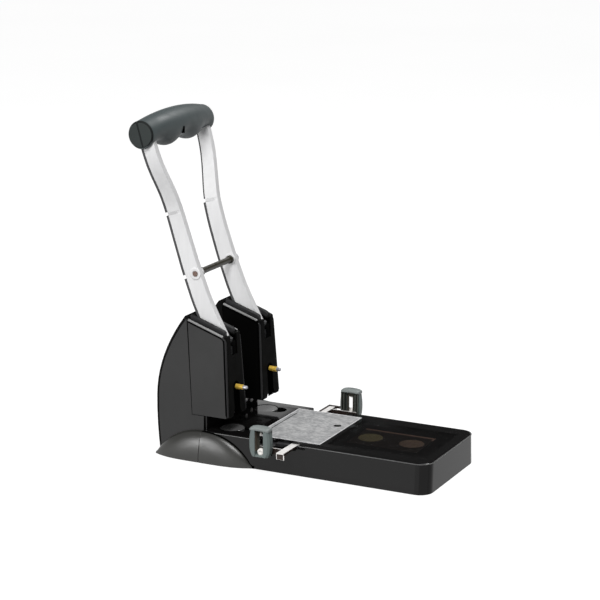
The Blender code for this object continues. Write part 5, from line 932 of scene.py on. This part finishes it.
def grip_part(sign):
    """First angle of the front or rear half of the grip, and the direction away from the other half."""
    start = GRIP_LEAN if sign > 0 else GRIP_LEAN + math.pi
    return start, Vector((0.0, math.cos(GRIP_LEAN), -math.sin(GRIP_LEAN))) * sign


def grip_half(sign):
    """Front or rear half of the grip, cut along a plane that leans back."""
    inner = GRIP_HALF - GRIP_END_ROUND
    ends = [(GRIP_HALF, GRIP_END_ROUND * 0.75), (GRIP_HALF - GRIP_END_ROUND * 0.3, GRIP_END_ROUND * 0.29)]
    stops = [(-x, trim) for x, trim in ends]
    stops += [(-inner + 2 * inner * step / GRIP_STATIONS, 0.0) for step in range(GRIP_STATIONS + 1)]
    stops += reversed(ends)
    start, away = grip_part(sign)
    gap = away * SEAM_GAP
    return [[Vector(grip_point(x, start + math.pi * step / GRIP_ARC_STEPS, trim)) + gap
             for step in range(GRIP_ARC_STEPS + 1)] for x, trim in stops]


def grip_end(side, sign):
    """One half of the disc on an end of the grip."""
    centre = GRIP_CENTRE + GRIP_BOW
    start, away = grip_part(sign)
    gap = away * GRIP_END_GAP
    rings = []
    for out, trim in ((-0.0010, 0.0016), (0.0002, 0.0016), (0.0005, 0.0022)):
        radius = GRIP_END_RADIUS - trim
        x = side * (GRIP_HALF + out)
        rings.append([Vector((x, centre.x + sin * radius, centre.y + cos * radius)) + gap
                      for cos, sin in arc(24, start, math.pi)])
    return rings


def dress_grip():
    """Both halves of the grip, the end discs and rings, and the small slot under it."""
    for half, sign in (("front", -1), ("rear", 1)):
        add_piece(f"grip_{half}_look", [grip_half(sign)], "grip_rubber", "lever", 50.0,
                  node=f"grip_{half}")
    centre = GRIP_CENTRE + GRIP_BOW
    profile = ((-0.0034, GRIP_END_RADIUS + 0.0006), (-0.0018, GRIP_END_RADIUS + 0.0007),
               (-0.0003, GRIP_END_RADIUS - 0.0001), (0.0002, GRIP_END_RADIUS - 0.0010))
    for word, side in SIDES:
        discs = [grip_end(side, sign) for sign in (-1, 1)]
        add_piece(f"grip_end_{word}", discs, "grip_end", "lever", 40.0)
        ring = turned((side * GRIP_HALF, centre.x, centre.y), (side, 0, 0), profile, 48)
        add_piece(f"grip_ring_{word}", [ring], "grip_seam", "lever", 60.0)
    # The grip's slot is a near-black block, painted as the shade inside a recess.
    mouth = Vector(grip_point(-0.0120, math.radians(258.0), 0.0))
    slot = block(mouth - Vector((0.0019, 0.0012, 0.0040)), mouth + Vector((0.0019, 0.0030, 0.0040)))
    add_piece("grip_slot", [slot], "groove_shade_black", "lever", 30.0, 0.0008, 3)


# Paper guides

def pick_bar(centre, normal):
    """Finish of a guide bar's faces: dark brown painted as shade on its long edges and inside its turned-down
    end.
    """
    return 1 if abs(normal.y) > 0.9 or 0.0765 < abs(centre.x) < 0.0790 else 0


class Guide:
    """Measures of one paper guide, taken from its CAD solid."""

    def __init__(self, word, side):
        near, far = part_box(f"paper_guide_{word}")
        self.word = word
        self.side = side
        self.body = f"guide_{word}"
        self.inner = (near.x if side > 0 else far.x) + side * GUIDE_INSET
        self.outer = far.x if side > 0 else near.x
        self.centre_y = (near.y + far.y) / 2 - side * GUIDE_SHIFT
        self.foot = near.z
        self.crown = far.z - GUIDE_CAP_DROP
        self.web_out = self.outer - side * GUIDE_WEB_FRONT
        self.web_in = self.outer - side * GUIDE_WEB_BACK

    def add(self, name, solids, finish, angle=34.0, bevel=0.0, node=None):
        """A piece of this guide."""
        add_piece(f"{name}_{self.word}", solids, finish, self.body, angle, bevel, node=node)


def dress_guides():
    """Both paper guides with their bars and screws."""
    for word, side in SIDES:
        copy_node(f"guide_bar_{word}", ("bright_steel", "edge_shade_brown"), 0.0, 32.0, pick_bar)
        guide = Guide(word, side)
        add_guide_cheeks(guide)
        add_guide_web(guide)
        add_guide_cap(guide)
        add_guide_ribs(guide)
        add_guide_pointer(guide)
        add_bar_edges(word, side)
        add_guide_screw(word, side)


def add_guide_cheeks(guide):
    """Barrel-shaped body in two cheeks on a common foot."""
    side, inner, outer, foot = guide.side, guide.inner, guide.outer, guide.foot
    solids = []
    for sign in (-1, 1):
        rings = []
        for step in range(13):
            share = step / 12
            edge = GUIDE_HALF + GUIDE_SWELL * math.sin(math.pi * share) - 0.0016 * max(0.0, 1.0 - step / 1.5)
            plan = ((inner, edge - 0.0016), (inner + side * 0.0016, edge), (outer - side * 0.0022, edge),
                    (outer, edge - 0.0024), (outer, GUIDE_RECESS), (inner, GUIDE_RECESS))
            z = foot + (guide.crown - foot) * share
            rings.append([(x, guide.centre_y + sign * y, z) for x, y in plan])
        solids.append(rings)
    solids.append(block((inner, guide.centre_y - GUIDE_RECESS, foot),
                        (outer - side * 0.0004, guide.centre_y + GUIDE_RECESS, foot + 0.0024)))
    guide.add("paper_guide_look", solids, "guide_plastic", 30.0, 0.0004, f"paper_guide_{guide.word}")


def add_guide_web(guide):
    """Slotted web between the cheeks, and the brown walls in front of it."""
    centre_y, foot, crown = guide.centre_y, guide.foot, guide.crown
    web = []
    for sign in (-1, 1):
        web.append(block((guide.web_in, centre_y + sign * GUIDE_SLOT_HALF, foot),
                         (guide.web_out, centre_y + sign * GUIDE_RECESS, crown)))
    for low_z, high_z in ((foot, foot + GUIDE_SLOT_LOW), (foot + GUIDE_SLOT_HIGH, crown)):
        web.append(block((guide.web_in, centre_y - GUIDE_SLOT_HALF, low_z),
                         (guide.web_out, centre_y + GUIDE_SLOT_HALF, high_z)))
    guide.add("guide_web", web, "guide_web")
    front_x = guide.outer - guide.side * 0.0012
    walls = [block((guide.web_out, centre_y + sign * GUIDE_RECESS, foot + 0.0060),
                   (front_x, centre_y + sign * (GUIDE_RECESS - 0.0002), crown - 0.0004))
             for sign in (guide.side, -guide.side)]
    guide.add("guide_wall", walls, "wall_brown")


def add_guide_cap(guide):
    """Domed cap with round corners."""
    centre_x = (guide.inner + guide.outer) / 2
    half_x = abs(guide.outer - guide.inner) / 2
    half_y = GUIDE_HALF + 0.0004
    rings = []
    for rise, grow in GUIDE_CAP_STEPS:
        ring = []
        for cos, sin in arc(48):
            along = math.copysign(abs(cos) ** 0.35, cos)
            across = math.copysign(abs(sin) ** 0.35, sin)
            lift = 0.0012 * (1.0 - along * along)
            ring.append((centre_x + across * (half_x + grow), guide.centre_y + along * (half_y + grow),
                         guide.crown + rise + lift))
        rings.append(ring)
    guide.add("guide_cap", [rings], "guide_cap", 50.0)


def add_guide_ribs(guide):
    """Ribs on the inner face of both cheeks, and the dark ground between them."""
    side, inner, centre_y, foot = guide.side, guide.inner, guide.centre_y, guide.foot
    ribs = [block((inner - side * 0.0008, centre_y + y - 0.0006, foot + 0.0020),
                  (inner + side * 0.0004, centre_y + y + 0.0006, guide.crown - 0.0012)) for y in GUIDE_RIBS]
    guide.add("guide_ribs", ribs, "guide_rib", 30.0, 0.0003)
    ground = [block((inner - side * 0.0002, centre_y + sign * GUIDE_RECESS, foot + 0.0004),
                    (inner + side * 0.0003, centre_y + sign * GUIDE_HALF, guide.crown)) for sign in (-1, 1)]
    guide.add("guide_inner", ground, "guide_inner")


def add_guide_pointer(guide):
    """Pale pointer over the slot of the web."""
    top = guide.foot + GUIDE_SLOT_HIGH
    plan = ((-0.0013, top - 0.0013), (0.0013, top - 0.0013), (0.0, top + 0.0028))
    rings = [[(x, guide.centre_y + y, z) for y, z in plan]
             for x in (guide.web_out, guide.web_out + guide.side * 0.0010)]
    add_piece(f"guide_pointer_{guide.word}", [rings], "pale_plastic", guide.body)


def add_bar_edges(word, side):
    """Raised edge along one side of a guide bar and over its turned-down end, in dark brown painted as shade.
    """
    near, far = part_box(f"guide_bar_{word}")
    tip = far.x if side > 0 else near.x
    edge_y = far.y if side > 0 else near.y
    out_x = tip + side * 0.0003
    low_z = far.z - 0.0016
    high_z = far.z + 0.0002
    edges = [block((out_x, edge_y - side * EDGE_SHADE_WIDTH[word], low_z),
                   (tip - side * 0.0330, edge_y + side * 0.0003, high_z))]
    if side > 0:
        edges.append(block((out_x, edge_y, low_z), (tip - side * 0.0040, near.y, high_z)))
    edges.append(block((out_x, edge_y - side * 0.0086, near.z + 0.0003),
                       (tip - side * 0.0002, edge_y - side * 0.0012, far.z - 0.0010)))
    add_piece(f"bar_edge_{word}", edges, "edge_shade_brown", f"bar_{word}")


def add_guide_screw(word, side):
    """Pale round knob with a dimple."""
    node = f"guide_screw_{word}"
    place = middle(node)
    face = low(node).x if side < 0 else high(node).x
    knob = turned((face, place.y, place.z), (-side, 0, 0), KNOB_PROFILE, 28)
    add_piece(f"guide_screw_look_{word}", [knob], "pale_plastic", f"bar_{word}", 30.0,
              node=node)


def dress_rest():
    """Give every CAD solid that still shows its own finish; the cams, axles and punch holders inside the
    towers get dark steel instead, as painted shade.
    """
    slots = {entry["node"]: entry["material_slot"] for entry in frame["record"]["subparts"]}
    for node, piece in frame["nodes"].items():
        piece.data.materials.clear()
        # Cams, axles and punch holders sit in the towers' shade and get dark steel, as painted shade, in
        # place of their own finish.
        shaded_inside = node.startswith(("lever_cam", "lever_axle", "punch_holder"))
        piece.data.materials.append(MATERIALS["dark_steel" if shaded_inside else slots[node]])


# Studio: pale floor, soft lamps, a dim sky with a low white backdrop, and the camera
FLOOR_COLOUR = 0.20
FLOOR_GLOW = 0.92
FLOOR_REACH = 9.0
KEY_SIDE = (-0.80, 0.45, 0.40)
RIGHT_HAND = (0.4468, -0.8946, 0.0)
SKY_KEY = 0.44
SKY_TOP = 0.05
SKY_FLOOR = 0.045
# The backdrop is lower on the camera's right-hand side
WALL_FALL = 0.09
WALL_TOP = 0.2965
WALL_SOFTNESS = 0.0070
# Lamps: place, target, size and power
LAMPS = {
    "key": ((-1.20, -0.42, 1.85), (0.0, 0.03, 0.15), (0.8, 0.6), 30.0),
    "side": ((-1.77, 0.91, 0.58), (0.0, 0.05, 0.08), (0.35, 0.7), 12.0),
    "back": ((1.24, -0.20, 1.75), (0.0, 0.15, 0.33), (0.6, 0.6), 20.0),
}
CAMERA_PLACE = (-1.9104, -0.9495, 0.7117)
CAMERA_TURN = (math.radians(75.94), 0.0, math.radians(-63.46))
CAMERA_LENS = 121.2


def add_seen(tree):
    """1 for what the camera sees straight, in a reflection or through glass, otherwise 0."""
    rays = tree.nodes.new("ShaderNodeLightPath").outputs
    straight = combine(tree, "MAXIMUM", rays["Is Camera Ray"], rays["Is Glossy Ray"])
    return combine(tree, "MAXIMUM", straight, rays["Is Transmission Ray"])


def add_floor():
    """A plain pale floor that keeps the object's shadow."""
    mesh = bpy.data.meshes.new("studio_floor")
    corners = [(x, y, 0) for x, y in ((-1, -1), (1, -1), (1, 1), (-1, 1))]
    mesh.from_pydata([Vector(corner) * FLOOR_REACH for corner in corners], [], [(0, 1, 2, 3)])
    floor = place_object("studio_floor", mesh)
    material, tree, shader, vector = new_material("studio_floor")
    tint = add_ramp(tree, add_noise(tree, vector, 2.0), grey(FLOOR_COLOUR - 0.01), grey(FLOOR_COLOUR + 0.01))
    glow = combine(tree, "MULTIPLY", add_seen(tree), FLOOR_GLOW)
    set_inputs(tree, shader, {"Base Color": tint, "Roughness": 0.9, "Specular IOR Level": 0.0,
                              "Emission Color": grey(1.0), "Emission Strength": glow})
    mesh.materials.append(material)


def add_area(name, location, target, size, power):
    """A soft rectangular light that faces a target."""
    light = bpy.data.lights.new(name, "AREA")
    light.shape = "RECTANGLE"
    light.size = size[0]
    light.size_y = size[1]
    light.energy = power
    lamp = place_object(name, light)
    lamp.location = location
    lamp.rotation_euler = (Vector(target) - Vector(location)).to_track_quat("-Z", "Y").to_euler()


def fade(tree, value, start, end):
    """Smooth step of a value from 0 at the start to 1 at the end."""
    inputs = {"Value": value, "From Min": start, "From Max": end}
    return add_node(tree, "MapRange", inputs, "Result", interpolation_type="SMOOTHSTEP")


def facing(tree, direction, towards):
    """How far a direction of the sky points towards a given one."""
    inputs = {0: direction, 1: Vector(towards).normalized()}
    return add_node(tree, "VectorMath", inputs, "Value", operation="DOT_PRODUCT")


def add_world():
    """Soft sky: lit from the left and above, dim elsewhere, with a low white backdrop all round."""
    world = bpy.data.worlds.new("studio")
    bpy.context.scene.world = world
    world.use_nodes = True
    tree = world.node_tree
    direction = tree.nodes.new("ShaderNodeTexCoord").outputs["Generated"]
    height = facing(tree, direction, (0, 0, 1))
    lit = combine(tree, "MULTIPLY", fade(tree, facing(tree, direction, KEY_SIDE), -0.25, 0.85), SKY_KEY)
    above = combine(tree, "MULTIPLY", fade(tree, height, 0.72, 0.95), SKY_TOP)
    sky = combine(tree, "ADD", combine(tree, "MAXIMUM", lit, above), SKY_FLOOR)
    fall = combine(tree, "MULTIPLY", fade(tree, facing(tree, direction, RIGHT_HAND), 0.0, 0.02), WALL_FALL)
    wall = fade(tree, combine(tree, "ADD", height, fall), WALL_TOP + WALL_SOFTNESS, WALL_TOP)
    sky = combine(tree, "MAXIMUM", sky, combine(tree, "MULTIPLY", wall, add_seen(tree)))
    set_inputs(tree, tree.nodes["Background"], {"Strength": sky, "Color": grey(1.0)})


def add_camera():
    """Camera at the photograph's viewing angle."""
    camera = bpy.data.cameras.new("camera")
    camera.sensor_width = 36.0
    camera.lens = CAMERA_LENS
    camera.clip_end = 50.0
    eye = place_object("camera", camera)
    eye.location = CAMERA_PLACE
    eye.rotation_euler = CAMERA_TURN
    bpy.context.scene.camera = eye


def build_studio():
    """Floor, light, world and camera."""
    add_floor()
    for name, values in LAMPS.items():
        add_area(name, *values)
    add_world()
    add_camera()
    bpy.context.scene.view_settings.view_transform = "Standard"


dress_rest()
dress_base()
dress_foot_covers()
dress_towers()
dress_arms()
dress_grip()
dress_guides()
build_studio()
